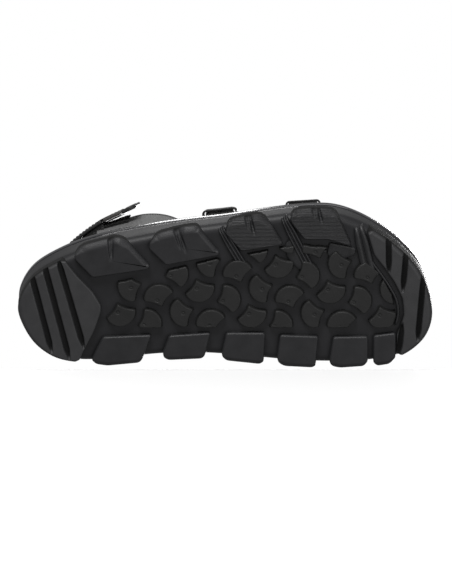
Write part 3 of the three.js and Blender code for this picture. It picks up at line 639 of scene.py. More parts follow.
def set_camera(tilt=18.7, lens=400, tall=400.0, target=(1.6, -0.63, 0)):
    """A long lens under the sole, leaning to the lateral side: toe to the right, lateral side up. tall is
    the height of the view at the sandal in millimetres."""
    lean = math.radians(tilt)
    back = Vector((-math.sin(lean), 0, -math.cos(lean)))
    up = Vector((-math.cos(lean), 0, math.sin(lean)))
    right = up.cross(back)
    data = bpy.data.cameras.new("camera")
    data.lens = lens
    data.sensor_width = 36
    distance = tall * lens / data.sensor_width
    place = (Vector(target) + back * distance) * MM
    data.clip_start, data.clip_end = 0.1, 40
    camera = bpy.data.objects.new("camera", data)
    bpy.context.scene.collection.objects.link(camera)
    turn = Matrix((right, up, back)).transposed()
    camera.matrix_world = Matrix.Translation(place) @ turn.to_4x4()
    bpy.context.scene.camera = camera


set_camera()

# ---- sole outline --------------------------------------------------------------------------------------

def outline(at):
    """The wall of the sole in plan, at shares 0 to 1 from the back of the heel round by the medial side."""
    return spline(OUTLINE, np.asarray(at) % 1.0, True)


def ring(at, inset):
    """The outline at shares, moved in square to itself by an inset."""
    way = unit(outline(np.asarray(at) + 1e-4) - outline(np.asarray(at) - 1e-4))
    inset = np.asarray(inset, float)[..., None]
    return outline(at) + inset * np.stack([way[..., 1], -way[..., 0]], -1)


def level_ring(at, inset, z):
    """The inset outline at shares, as points at a height."""
    return vec(*ring(at, inset).T, z)


def rim_height(y):
    """Height of the cup's rim over the ground."""
    return mix(RIM_TOE, RIM_HEEL, smooth(y, -20, 80))


def share_near(point):
    """Share along the outline nearest to a plan point."""
    at = np.linspace(0, 1, 3000, endpoint=False)
    return at[np.argmin(np.linalg.norm(outline(at) - np.asarray(point, float), axis=1))]


def sides(inset, count=1600):
    """The medial and lateral lines of an inset outline, each with y growing."""
    line = ring(np.arange(count) / count, inset)
    line = np.roll(line, -np.argmax(line[:, 1]), axis=0)
    front = np.argmin(line[:, 1])
    return line[:front + 1][::-1], line[front:]


def middle_line(points, room):
    """For plan points, the nearest points of a straight line down the sole, which stops short of its ends."""
    y = np.clip(points[..., 1], -SOLE_LENGTH / 2 + room, SOLE_LENGTH / 2 - room)
    return np.stack([2.5 + 0.075 * y, y], -1)


# ---- outsole ---------------------------------------------------------------------------------------------

def sole_shell(count=560):
    """The rubber cup: rings of the outline. From the flat channel floor up a rounded foot and the wall to
    the shelf that the rim band sits on, and down inside to the cup's flat floor."""
    at = np.arange(count) / count
    rings = [level_ring(at, inset, LUG_DEPTH) for inset in (7, 6)]
    foot = [(5.2 - 5.2 * math.sin(a), LUG_DEPTH + 5.5 * (1 - math.cos(a)))
            for a in np.linspace(0, math.pi / 2, 9)]
    top = rim_height(outline(at)[:, 1])
    rings += [level_ring(at, inset, z) for inset, z in foot + [(-0.1, 13), (0.1, 17)]]
    for inset, drop in ((0.15, -9), (0.15, -7.6), (0.5, -7.2), (1.2, -7.1), (WALL, -7.1), (WALL, -8)):
        rings.append(level_ring(at, inset, top + drop))
    for inset, rise in ((WALL, 6), (WALL + 0.5, 1.5), (WALL + 1.5, 0), (WALL + 3, 0)):
        rings.append(level_ring(at, inset, CUP_FLOOR + rise))
    return tube(np.array(rings), flat_ends=True)


def rim_band(count=560):
    """The glossy band round the top of the cup: a closed section carried round the outline, with a flat
    upright face, a rounded top and a foot set into the cup's shelf."""
    at = np.arange(count) / count
    top = rim_height(outline(at)[:, 1])
    shape = [(1.2, -7.4), (0.5, -6.95), (0.1, -6.6), (-0.1, -6.1), (-0.12, -4.6), (-0.12, -3), (-0.1, -1.6),
             (0.05, -0.85), (0.4, -0.3), (0.9, -0.03), (1.6, 0.05),
             (2.4, -0.1), (2.9, -0.5), (3.15, -1.2), (3.2, -2.4), (3.2, -7.4)]
    rings = np.array([level_ring(at, inset, top + drop) for inset, drop in shape])
    return rings.transpose(1, 0, 2).reshape(-1, 3), [looped_faces(count, len(shape))]


def grooves_in(x, y, grooves, half=1.9, depth=GROOVE_DEPTH):
    """Depth of straight grooves at plan points: full within half a width, a smooth wall outside, narrower
    over the last 9 mm of each end."""
    cut_in = np.zeros(x.shape)
    for ends in grooves:
        away, share = to_segment(x, y, ends)
        length = math.dist(*ends)
        end = np.minimum(share, 1 - share) * length
        width = half * mix(0.35, 1, smooth(end, -1, 9))
        profile = 1 - smooth(away, width - 0.45, width + 0.35)
        cut_in = np.maximum(cut_in, depth * profile * smooth(end, -1.2, 4))
    return cut_in


def bumper(edge, at_from, at_to, grooves, count, rows):
    """A bumper at one end of the sole: straight ribs from its inner edge to the outline, evenly shared
    along both. Each rib drops from hidden in the floor over a small bevel to the tread face, runs flat to
    the outline and rounds up the wall as a quarter ellipse; the grooves are then taken from its height."""
    inner = resample(spline(edge, np.linspace(0, 1, 300), False), count)
    inner = mix(inner, resample(edge, count), 0.6)
    line = outline(np.linspace(at_from, at_to, 2000))
    outer = resample(line, count)
    reach = np.linalg.norm(outer - inner, axis=1)[:, None]
    first = np.array([0, 0, 0.08, 0.3, 0.7, 1.3])
    first_z = np.array([7, 0.95, 0.6, 0.22, 0.04, 0])
    turn = np.linspace(0, np.pi / 2, 8)
    last = 3.0 * (1 - np.sin(turn))
    last_z = 3.6 * (1 - np.cos(turn))
    fit = np.minimum(1, reach / 5.5)
    near = first * fit / np.maximum(reach, 1e-6)
    far = 1 - last * fit / np.maximum(reach, 1e-6)
    share = np.linspace(0, 1, rows)[1:-1]
    between = mix(near[:, -1:], far[:, :1], share)
    shares = np.concatenate([near, between, far, np.ones((count, 1))], 1)[..., None]
    z = np.concatenate([first_z, np.zeros(rows - 2), last_z, [11]])
    plan = mix(inner[:, None], outer[:, None], shares)
    z = np.broadcast_to(z, shares.shape[:2]).copy()
    z = mix(11, z, smooth(reach, 0.2, 5))
    taken = grooves_in(plan[..., 0], plan[..., 1], grooves)[:, 1:-1]
    z[:, 1:-1] = np.minimum(z[:, 1:-1] + taken, np.maximum(z[:, 1:-1], GROOVE_DEPTH))
    return tube(np.concatenate([plan, z[..., None]], -1))


def notch(x, y, outer, inner, wide, depth):
    """A tapering crease from an outer to an inner plan point: on one side a short steep wall, on the other
    a soft facet that is wide at the outer end and nothing at the inner one."""
    a, b = np.asarray(outer, float), np.asarray(inner, float)
    way = b - a
    length = np.hypot(*way)
    share = ((x - a[0]) * way[0] + (y - a[1]) * way[1]) / length**2
    aside = ((x - a[0]) * way[1] - (y - a[1]) * way[0]) / length
    open_by = np.clip(1 - share, 0, 1.3)
    soft = 1 - np.clip(aside / (wide * open_by + 0.3), 0, 1)
    steep = 1 - np.clip(-aside / 0.9, 0, 1)
    return depth * open_by**0.8 * np.where(aside > 0, soft, steep) * (share < 1)


def lug(corners, radius, bevel, detail=None, around=190, rows=30):
    """A side lug: rings of its rounded outline. They close hidden in the wall, come down its sides, round
    over a bevel that is wider where the outline faces out of the sole, and shrink across the face to the
    middle. detail(x, y) is taken from the face's height."""
    line = rounded(corners, radius, around)
    normal = outward_normals(line)
    facing = normal[:, 0] * np.sign(line[:, 0].mean())
    wide = mix(bevel[0], bevel[1], smooth(facing, 0.35, 0.85))
    deep = mix(bevel[0], bevel[1] * 0.62, smooth(facing, 0.35, 0.85))
    rings = []
    for inset, z in ((8, 13.3), (4, 13.2), (1.8, 12.6), (0.7, 11.6), (0.1, 10)):
        rings.append(vec(*(line - normal * inset).T, z))
    for share_in, share_up in ((0, 1.25), (0.04, 1.0), (0.3, 0.66), (0.6, 0.34), (0.86, 0.1), (1.1, 0.0)):
        rings.append(vec(*(line - normal * (wide * share_in)[:, None]).T, deep * share_up))
    edge = line - normal * (wide * 1.1)[:, None]
    for share in (np.arange(1, rows) / rows):
        rings.append(vec(*mix(edge, edge.mean(0), share).T, 0))
    rings = np.array(rings)
    if detail:
        rings[5:, :, 2] += detail(rings[5:, :, 0], rings[5:, :, 1])
    return tube(rings)


def lateral_detail(facet, groove):
    """The crease and the short groove in a lateral lug's face."""
    def detail(x, y):
        depth = notch(x, y, *facet, 9.0, 3.2)
        away, share = to_segment(x, y, groove)
        depth = np.maximum(depth, 2.0 * (1 - smooth(away, 0.4, 1.5)) * smooth(1 - share, -0.05, 0.5))
        return depth
    return detail


def fin(ends, width, ridges, low=0.9, high=11.5, rows=60):
    """A fin between the lateral lugs: a section with a few parallel ridges carried along a line. It starts
    a little narrower high on the wall, follows the quarter circle at the wall's foot down, and ends in a half
    circle."""
    a, b = np.asarray(ends[0], float), np.asarray(ends[1], float)
    length = np.linalg.norm(b - a)
    way = (b - a) / length
    aside = np.array([-way[1], way[0]])
    s = np.linspace(0, length, rows)
    tip = np.clip((s - (length - width / 2)) / (width / 2), 0, 0.97)
    narrow = np.sqrt(1 - tip**2) * mix(0.72, 1, smooth(s, 0, 14))
    climb = 6.5 * (1 - np.sqrt(1 - np.clip(1 - s / 6.5, 0, 1) ** 2))
    c = np.linspace(-1, 1, 41)
    wave = np.abs(np.sin(np.pi * ridges * (c + 1) / 2))
    face = low + 1.5 * (1 - wave**0.6) + 1.0 * smooth(np.abs(c), 0.92, 1.0)
    share = np.concatenate([c, [1, -1]])
    height = np.concatenate([face, [high, high]])
    plan = a + s[:, None, None] * way + (share * narrow[:, None] * width / 2)[..., None] * aside
    z = np.minimum(height + (climb + 1.4 * tip**3)[:, None], high)
    return tube(np.concatenate([plan, z[..., None]], -1))


def tread_field(step=0.46, wave=3.5, face=0.5, floor=5.0):
    """The tread between the side lugs, as heights over a fine grid as wide as the field is at each y. Two
    sets of parallel channels, each a sine wave along the other's direction and a pitch apart, part it into
    wavy four-cornered lugs, which the field's edge trims; scraps too small to be lugs are left out. A small
    ring marks each lug near its middle. The back is flat and lies inside the floor."""
    edge = np.array(FIELD_EDGE, float)
    (x0, y0), (x1, y1) = edge.min(0) - 1, edge.max(0) + 1
    y = np.arange(y0, y1, step)[:, None]
    curved = edge[1:-1][::-1]
    x = mix(np.interp(y, curved[:, 1], curved[:, 0]) - 1, x1, np.linspace(0, 1, int((x1 - x0) / step)))
    x, y = np.broadcast_arrays(x, y)
    cos, sin = math.cos(TILE_TURN), math.sin(TILE_TURN)
    p = (x - TILE_MIDDLE[0]) * cos + (y - TILE_MIDDLE[1]) * sin
    q = -(x - TILE_MIDDLE[0]) * sin + (y - TILE_MIDDLE[1]) * cos
    turn = np.pi / TILE_PITCH
    lines, shifts = [], []
    for along, across in ((p, q), (q, p)):
        shifted = across + wave * np.cos(along * turn) + TILE_PITCH / 2
        shifts.append(shifted)
        away = np.abs(shifted - TILE_PITCH * np.round(shifted / TILE_PITCH))
        slope = np.sqrt(1 + (wave * turn * np.sin(along * turn)) ** 2)
        lines.append(away / slope - TILE_CHANNEL / 2 + 0.5)
    inside = np.minimum(np.minimum(*lines), inside_by(x, y, edge))
    corner = smooth(np.abs(lines[0] - lines[1]), 0, 2.2)
    inside = inside - 0.35 * (1 - corner)
    cell = [np.floor(a / TILE_PITCH).astype(int) + 20 for a in shifts]
    room = np.zeros((40, 40))
    np.maximum.at(room, tuple(cell), inside)
    inside = np.where(room[tuple(cell)] > 2.6, inside, 0)
    z = mix(floor, face, smooth(inside, 0.0, 0.85))
    pip_x, pip_y = (p - TILE_PITCH * np.round(p / TILE_PITCH)), (q - TILE_PITCH * np.round(q / TILE_PITCH))
    pip = np.hypot(pip_x - 1.2, pip_y - 1.2)
    z = z + (inside > 2) * (0.5 * np.exp(-((pip - 0.9) / 0.35) ** 2))
    rows, columns = x.shape
    front = np.stack([x, y, z], -1).reshape(-1, 3)
    index = np.arange(rows * columns).reshape(rows, columns)
    border = np.concatenate([index[0, :-1], index[:-1, -1], index[-1, :0:-1], index[:0:-1, 0]])
    back = front[border].copy()
    back[:, 2] = FLOOR_BACK
    count = len(border)
    j = np.arange(count)
    k = (j + 1) % count
    skirt = np.stack([border[k], border[j], rows * columns + j, rows * columns + k], -1)
    middle = np.array([[*TILE_MIDDLE, FLOOR_BACK]])
    fan = np.stack([np.full(count, rows * columns + count), rows * columns + k, rows * columns + j], -1)
    return np.concatenate([front, back, middle]), [np.concatenate([grid_faces(rows, columns), skirt]), fan]


def pad_on_floor(corners, low, radius=1.2, bevel=0.5, around=90):
    """A flat raised patch on the channel floor with rounded corners and a small bevel."""
    line = rounded(corners, radius, around)
    normal = outward_normals(line)
    rings = [vec(*(line - normal * i).T, z) for i, z in
             ((1, FLOOR_BACK), (0, 6), (0, low + bevel), (bevel * 0.3, low + bevel * 0.3), (bevel, low))]
    edge = line - normal * bevel
    rings += [vec(*mix(edge, edge.mean(0), s).T, low) for s in (0.3, 0.65, 0.95)]
    return tube(np.array(rings))


def ridge_line(points, width, low, high=FLOOR_BACK, count=120):
    """A thin round-topped ridge carried along a smooth line in plan, its ends tapered to nothing."""
    line = resample(spline(points, np.linspace(0, 1, 240), False), count)
    way = unit(np.gradient(line, axis=0))
    aside = np.stack([-way[:, 1], way[:, 0]], -1)
    a = np.linspace(0, np.pi, 9)
    share = np.concatenate([np.cos(a), [-1, 1]])
    taper = np.sqrt(np.clip(np.minimum(np.arange(count), np.arange(count)[::-1]) / 6, 0.03, 1))
    plan = line[:, None] + (share * taper[:, None] * width / 2)[..., None] * aside[:, None]
    top = low + (width / 2) * (1 - np.sin(a)) + 2 * (1 - taper[:, None])
    z = np.concatenate([top, np.full((count, 2), high)], 1)
    return tube(np.concatenate([plan, z[..., None]], -1))


def build_outsole():
    """Every piece of the rubber sole."""
    shell = sole_shell()
    new_piece("sole_cup", *shell, WALL_RUBBER, "sole_rubber", replaces=["outsole"])
    new_piece("rim_band", *rim_band(), RIM_RUBBER, "sole_rubber")
    heel_from, heel_to = share_near(HEEL_EDGE[0]) - 1, share_near(HEEL_EDGE[-1])
    new_piece("heel_bumper", *bumper(HEEL_EDGE, heel_from, heel_to, HEEL_GROOVES, 420, 110),
              BUMPER_RUBBER, "sole_rubber")
    toe_from, toe_to = share_near(TOE_EDGE[0]), share_near(TOE_EDGE[-1])
    new_piece("toe_bumper", *bumper(TOE_EDGE, toe_from, toe_to, TOE_GROOVES, 440, 80),
              BUMPER_RUBBER, "sole_rubber")
    for i, corners in enumerate(LATERAL_LUGS):
        x = np.array(corners)[:, 0]
        body = lug(corners, np.where(x < x.mean(), 4.5, 1.6), (0.7, 3.9),
                   lateral_detail(LUG_CREASES[i], LUG_GROOVES[i]))
        finish = LUG_RUBBER if i < 2 else RIPPLED_RUBBER
        new_piece(f"lateral_lug_{i + 1}", *body, finish, "sole_rubber")
    medial = together([lug(corners, 2.0, (0.8, 2.6), around=150, rows=18) for corners in MEDIAL_LUGS])
    new_piece("medial_lugs", *medial, LUG_RUBBER, "sole_rubber")
    fins = together([fin(ends[:2], ends[2], ridges) for ends, ridges in zip(FINS, (3, 3, 2))])
    new_piece("fins", *fins, FIN_RUBBER, "sole_rubber")
    new_piece("tread_field", *tread_field(), FIELD_RUBBER, "sole_rubber")
    flat = [pad_on_floor(GUSSET, 2.4), pad_on_floor(PATCH, 2.6), pad_on_floor(STOP, 1.2, 0.5, 0.4)]
    new_piece("floor_details", *together(flat + [ridge_line(TOE_RIDGE, 1.8, 1.4)]), FIN_RUBBER,
              "sole_rubber")


build_outsole()

# ---- foot form -------------------------------------------------------------------------------------------

FORM = {}


def girth(y, tuck):
    """Half the inside width and the middle of the foot form at stations y."""
    if tuck not in FORM:
        FORM[tuck] = sides(WALL + 2 * GAP + STRAP + tuck)
    right, left = [np.interp(y, line[:, 1], line[:, 0]) for line in FORM[tuck]]
    return (right - left) / 2, (right + left) / 2


def arch_point(y, angle, height, tuck):
    """A half ellipse over the foot from the lateral rim (angle 0) to the medial rim (pi), carried straight
    down into the cup beyond either end."""
    half, middle = girth(y, tuck)
    on = np.clip(angle, 0, np.pi)
    drop = (np.maximum(0, -angle) + np.maximum(0, angle - np.pi)) * height
    return vec(middle - half * np.cos(on), y, rim_height(y) - STRAP_FOOT + height * np.sin(on) - drop)


def arch(y, angle, height, tuck):
    """Point and outward normal of the arch: the normal is the cross product of its two tangents."""
    y, angle = np.broadcast_arrays(np.asarray(y, float), np.asarray(angle, float))
    ahead = arch_point(y + 6, angle, height, tuck) - arch_point(y - 6, angle, height, tuck)
    up = arch_point(y, angle + 0.01, height, tuck) - arch_point(y, angle - 0.01, height, tuck)
    return arch_point(y, angle, height, tuck), unit(np.cross(up, ahead))


# ---- buckled straps ----------------------------------------------------------------------------------------

def rod(length, radius, inner=0.0, around=24, bevel=0.25):
    """A round bar, or a sleeve when inner is given, along X about the origin, its edges rounded off."""
    a = np.linspace(0, 2 * np.pi, around, endpoint=False)
    half = length / 2
    outer = [(-half, radius - bevel), (-half + bevel * 0.3, radius - bevel * 0.3), (-half + bevel, radius),
             (0, radius), (half - bevel, radius), (half - bevel * 0.3, radius - bevel * 0.3),
             (half, radius - bevel)]
    if inner:
        shape = outer + [(half, inner), (-half, inner)]
        rings = np.array([vec(x, r * np.cos(a), r * np.sin(a)) for x, r in shape]).transpose(1, 0, 2)
        return rings.reshape(-1, 3), [looped_faces(around, len(shape))]
    return tube(np.array([vec(x, r * np.cos(a), r * np.sin(a)) for x, r in outer]))


def bent_frame(corners, radius, turn_radius, flat, around=14, count=160):
    """A bar carried round a closed line in the XY plane whose corners are bent. flat is its height over its
    width."""
    line = rounded(corners, turn_radius, count, steps=12)
    way = unit(np.roll(line, -1, axis=0) - np.roll(line, 1, axis=0))
    aside = np.stack([-way[:, 1], way[:, 0]], -1)
    a = np.linspace(0, 2 * np.pi, around, endpoint=False)
    plan = line[:, None] + radius * np.cos(a)[None, :, None] * aside[:, None]
    rings = np.concatenate([plan, np.broadcast_to(radius * flat * np.sin(a)[None, :, None],
                                                  (len(line), around, 1))], -1)
    return rings.reshape(-1, 3), [looped_faces(count, around)]


def placed(body, origin, x, y, z):
    """A body moved from the XYZ axes to an origin and three unit axes."""
    points, faces = body
    return points @ np.array([x, y, z]) + origin, faces


def wire(points, radii, around=12):
    """A round wire through points in the YZ plane with a radius at each, its ends rounded shut."""
    line = spline(points, np.linspace(0, 1, 40), False)
    radius = np.interp(np.linspace(0, 1, 40), np.linspace(0, 1, len(radii)), radii)
    way = unit(np.gradient(line, axis=0))
    off = np.stack([-way[:, 1], way[:, 0]], -1)
    a = np.linspace(0, 2 * np.pi, around, endpoint=False)
    across = radius[:, None] * np.cos(a)
    plan = line[:, None] + (radius[:, None] * np.sin(a))[..., None] * off[:, None]
    return tube(np.concatenate([across[..., None], plan], -1))


def buckle_body(reach):
    """The buckle's frame in its own axes, from the pin at y 0 to the front bar at y reach. Away from the
    pin its section is 1.45 times as high, stands a little further up, and has its outer side moved out by
    0.6 of that side's width."""
    wide = (BUCKLE_WIDTH - BUCKLE_BAR) / 2
    points, faces = bent_frame([(-wide, 0), (wide, 0), (wide, reach), (-wide, reach)], BUCKLE_BAR / 2,
                               turn_radius=2.6, flat=0.95)
    stout = smooth(points[:, 1], 2, 6)
    points[:, 2] = points[:, 2] * (1 + 0.45 * stout) + 0.4 * stout
    for axis, edge in ((0, wide), (1, reach)):
        beyond = np.maximum(0, np.abs(points[:, axis]) - edge)
        points[:, axis] += 0.6 * stout * beyond * np.sign(points[:, axis])
    return points, faces


def prong_body(reach):
    """The prong in the buckle's axes: an eye round the pin and a shaft that rises and rests on the front
    bar."""
    eye = BUCKLE_BAR / 2 + RUNNING_GAP
    tip_z = BUCKLE_BAR / 2 + GAP + PRONG / 2
    root_z = eye + PRONG_RING - PRONG / 2
    shaft = wire([(0, root_z), (reach * 0.25, root_z + 0.35), (reach * 0.7, tip_z + 0.25),
                  (reach + BUCKLE_BAR * 0.6, tip_z)], [0.3, 0.95, 1.0, 0.95, 0.9, 0.85, 0.75, 0.25])
    return together([shaft, rod(2 * PRONG_SLOT - 4 * GAP, eye + PRONG_RING, eye, bevel=0.2)])


def keeper_body():
    """The keeper loop, with x across the strap and y up from the foot form: a flat rounded section carried
    up one side of the two straps, over them and down the other side."""
    inside = TAIL_WIDTH / 2 + 0.8 + KEEPER_WALL / 2
    deck = 2 * (STRAP + GAP) + 1.4 + KEEPER_WALL / 2
    turn = np.linspace(0, np.pi / 2, 10)
    right = [(inside + KEEPER_TURN * (math.cos(t) - 1), deck + KEEPER_TURN * (math.sin(t) - 1)) for t in turn]
    line = np.array([(inside, STRAP + 2 * GAP)] + right)
    line = resample(np.concatenate([line, line[::-1] * (-1, 1)]), 90)
    way = unit(np.gradient(line, axis=0))
    out = np.stack([way[:, 1], -way[:, 0]], -1)
    share, beyond, rise = section(-KEEPER_WALL / 2, KEEPER_WALL / 2, 0.45, 8)
    across = share * (KEEPER_WIDTH / 2 - 0.45) + beyond
    plan = line[:, None] + rise[None, :, None] * out[:, None]
    return tube(np.concatenate([plan, np.broadcast_to(across[None, :, None], plan.shape[:2] + (1,))], -1))


def build_strap(name, station, height, pin_angle, foot_width, top_width):
    """One buckled strap: lateral tab with its sleeve, long strap with punched holes, linings, buckle
    frame, prong, keeper and stitching."""
    sink = STRAP_SINK / height
    pin_angle = math.radians(pin_angle)

    def at(y, angle):
        return arch(y, angle, height, STRAP_TUCK)

    span = at(station, pin_angle + 0.01)[0] - at(station, pin_angle - 0.01)[0]
    near_pin = np.linalg.norm(span) / 0.02

    def distance(angle):
        return (angle - pin_angle) * near_pin

    def lift(angle):
        away = distance(angle)
        rest = np.where(away > 0, 0, STRAP + GAP)
        return mix(SLEEVE_RADIUS * 2 + GAP, rest, smooth(np.abs(away) - HUMP_FLAT, 0, HUMP_RISE))

    def tab_place(angle, across, h):
        point, normal = at(station + across, angle)
        return point + normal * np.asarray(h)[..., None]

    def strap_place(angle, across, h):
        point, normal = at(station + across, angle)
        return point + normal * (lift(angle) + h)[..., None]

    def tab_half(angle):
        return mix(TAIL_WIDTH / 2, foot_width / 2, smooth(-distance(angle), 3, KEEPER_BACK + 2))

    tail_end = pin_angle - TAIL_LENGTH / near_pin

    def strap_half(angle):
        to_top = smooth(distance(angle), FRONT_REACH + 3, FRONT_REACH + 24)
        to_foot = smooth(angle, np.pi * 0.6, np.pi)
        wide = mix(mix(TAIL_WIDTH / 2, top_width / 2, to_top), foot_width / 2, to_foot)
        from_end = np.clip((angle - tail_end) * near_pin / 6, 0.02, 1)
        return wide - 0.4 - 4.0 * (1 - np.sqrt(1 - (1 - from_end) ** 2))

    seat, seat_normal = at(station, pin_angle)
    pin = seat + seat_normal * SLEEVE_RADIUS
    bar_seat, bar_normal = at(station, pin_angle + FRONT_REACH / near_pin)
    front = bar_seat + bar_normal * BAR_LIFT
    reach = np.linalg.norm(front - pin)
    ahead = (front - pin) / reach
    beside = [at(station + step, pin_angle + FRONT_REACH / 2 / near_pin)[0] for step in (-8, 8)]
    sideways = beside[0] - beside[1]
    sideways = unit(sideways - ahead * (sideways @ ahead))
    off = np.cross(sideways, ahead)
    axes = (pin, sideways, ahead, off)

    tab = strip(tab_place, (-sink, pin_angle - 1.7 / near_pin), 46,
                lambda v: tab_half(v) - 0.2, 0, STRAP, 0.8)
    half_sleeve = TAIL_WIDTH / 2 - PRONG_SLOT - 0.3
    sleeves = []
    for side in (-1, 1):
        points, faces = rod(half_sleeve, SLEEVE_RADIUS, BUCKLE_BAR / 2 + RUNNING_GAP)
        points = points + (side * (PRONG_SLOT + 0.3 + half_sleeve / 2), 0, 0)
        sleeves.append(placed((points, faces), *axes))
    new_piece(f"{name}_tab_suede", *together([tab] + sleeves), SUEDE, "suede", replaces=[f"{name}_tab"])
    lining = strip(tab_place, (-sink, pin_angle - 1.5 / near_pin), 30,
                   lambda v: tab_half(v) - 1.2, -GAP - LINING, -GAP, 0.45)
    new_piece(f"{name}_tab_felt", *lining, FELT, "lining", replaces=[f"{name}_tab_lining"])

    strap = new_piece(f"{name}_strap_suede", *strip(strap_place, (tail_end, np.pi + sink), 190, strap_half,
                                                    0, STRAP, 0.8, flats=16),
                      SUEDE, "suede", replaces=[f"{name}_strap"])
    a = np.linspace(0, 2 * np.pi, 20, endpoint=False)
    punches = []
    for hole in HOLES:
        point, normal = at(station, pin_angle + hole * HOLE_SPACING / near_pin)
        x = unit(np.cross(normal, (0, 0, 1)))
        circle = HOLE_RADIUS * (np.cos(a)[:, None] * x + np.sin(a)[:, None] * np.cross(normal, x))
        punches.append(tube(np.array([point + circle + normal * h for h in (-4, 12)])))
    slot = rounded([(-PRONG_SLOT, -4), (PRONG_SLOT, -4), (PRONG_SLOT, 11.6), (-PRONG_SLOT, 11.6)],
                   PRONG_SLOT, 40)
    punches.append(placed(tube(np.array([vec(*slot.T, z) for z in (-2, 12)])), *axes))
    cutter = new_piece("cutter", *together(punches), SUEDE, "suede", body=None)
    cut(strap, cutter)

    lining = strip(tab_place, (pin_angle + FRONT_REACH / near_pin, np.pi + sink), 100,
                   lambda v: strap_half(v) - 0.8, -GAP - LINING, -GAP, 0.45)
    new_piece(f"{name}_strap_felt", *lining, FELT, "lining", replaces=[f"{name}_strap_lining"])

    new_piece(f"{name}_buckle", *placed(buckle_body(reach), *axes), METAL, "buckle_metal",
              body=f"{name}_buckle", replaces=[f"{name}_buckle_frame"])
    new_piece(f"{name}_prong", *placed(prong_body(reach), *axes), METAL, "buckle_metal",
              body=f"{name}_prong", replaces=[f"{name}_buckle_prong"])

    keeper_angle = pin_angle - KEEPER_BACK / near_pin
    seat, normal = at(station, keeper_angle)
    side = unit(at(station - 8, keeper_angle)[0] - at(station + 8, keeper_angle)[0])
    side = unit(side - normal * (side @ normal))
    new_piece(f"{name}_keeper_loop", *placed(keeper_body(), seat, side, normal, np.cross(side, normal)),
              NYLON, "nylon", replaces=[f"{name}_keeper"])

    rows = []
    for side_of in (-1, 1):
        v = np.linspace(pin_angle + (FRONT_REACH + 4) / near_pin, np.pi - 0.03, 220)
        rows.append(stitches(strap_place, (v, side_of * (strap_half(v) - 2.4)), STRAP))
        v = np.linspace(0.03, pin_angle - (KEEPER_BACK + 4) / near_pin, 60)
        rows.append(stitches(tab_place, (v, side_of * (tab_half(v) - 2.6)), STRAP))
    new_piece(f"{name}_stitching", *together(rows), THREAD, "nylon")


def build_quarter(name, side):
    """One side of the heel counter: a sheet on the foot form from inside the cup to its curved top edge,
    with a rolled binding along the edge and a row of stitches under it."""
    def edge(y):
        share = np.clip((y - QUARTER_FRONT) / (QUARTER_BACK - QUARTER_FRONT), 0, 1)
        rise = np.sin(np.minimum(1, share / 0.55) * np.pi / 2) ** 0.8
        corner = np.clip((y - QUARTER_BACK + 9) / 9, 0, 0.985)
        return mix(RIM_TOE + 4, QUARTER_TOP, rise) - 9 * (1 - np.sqrt(1 - corner**2))

    def on_form(y, z, h):
        height = mix(FORM_WAIST, FORM_HEEL, smooth(y, 55, 82))
        over = (z - rim_height(y) + STRAP_FOOT) / height
        angle = np.where(over > 0, np.arcsin(np.clip(over, 0, 0.999)), over)
        point, normal = arch(y, angle if side < 0 else np.pi - angle, height, 0)
        return point + normal * np.asarray(h)[..., None]

    def place(v, across, h):
        y = mix(QUARTER_FRONT, QUARTER_BACK, v)
        low = rim_height(y) - STRAP_FOOT - STRAP_SINK
        y, low, across, h = np.broadcast_arrays(y, low, across, h)
        return on_form(y, mix(low, edge(y), (across + 1) / 2), h)

    def tall_at(v):
        y = mix(QUARTER_FRONT, QUARTER_BACK, v)
        return edge(y) - rim_height(y) + STRAP_FOOT + STRAP_SINK

    share, out, rise = section(0.02, STRAP - 0.02, 0.8, 26)
    v = np.linspace(0, 1, 120)[:, None]
    tall = tall_at(v)
    across = (share * (tall - 1.6) + 2 * out) / tall
    new_piece(f"{name}_quarter_cloth", *tube(place(v, across, rise[None])), CLOTH, "quarter",
              replaces=[f"{name}_quarter"])
    a = np.linspace(0, 2 * np.pi, 12, endpoint=False)
    share = np.linspace(0.01, 0.985, 150)
    y = mix(QUARTER_FRONT, QUARTER_BACK, share)[:, None]
    roll = on_form(y, edge(y) - 0.6 + 1.3 * np.cos(a), STRAP / 2 + 1.3 * np.sin(a))
    new_piece(f"{name}_quarter_binding", *tube(roll), LEATHER, "quarter")
    line = np.linspace(0.06, 0.97, 160)
    seam = stitches(place, (line, 1 - 2 * 3.4 / tall_at(line)), STRAP, pitch=2.6)
    new_piece(f"{name}_quarter_stitching", *seam, THREAD, "nylon")
    return on_form


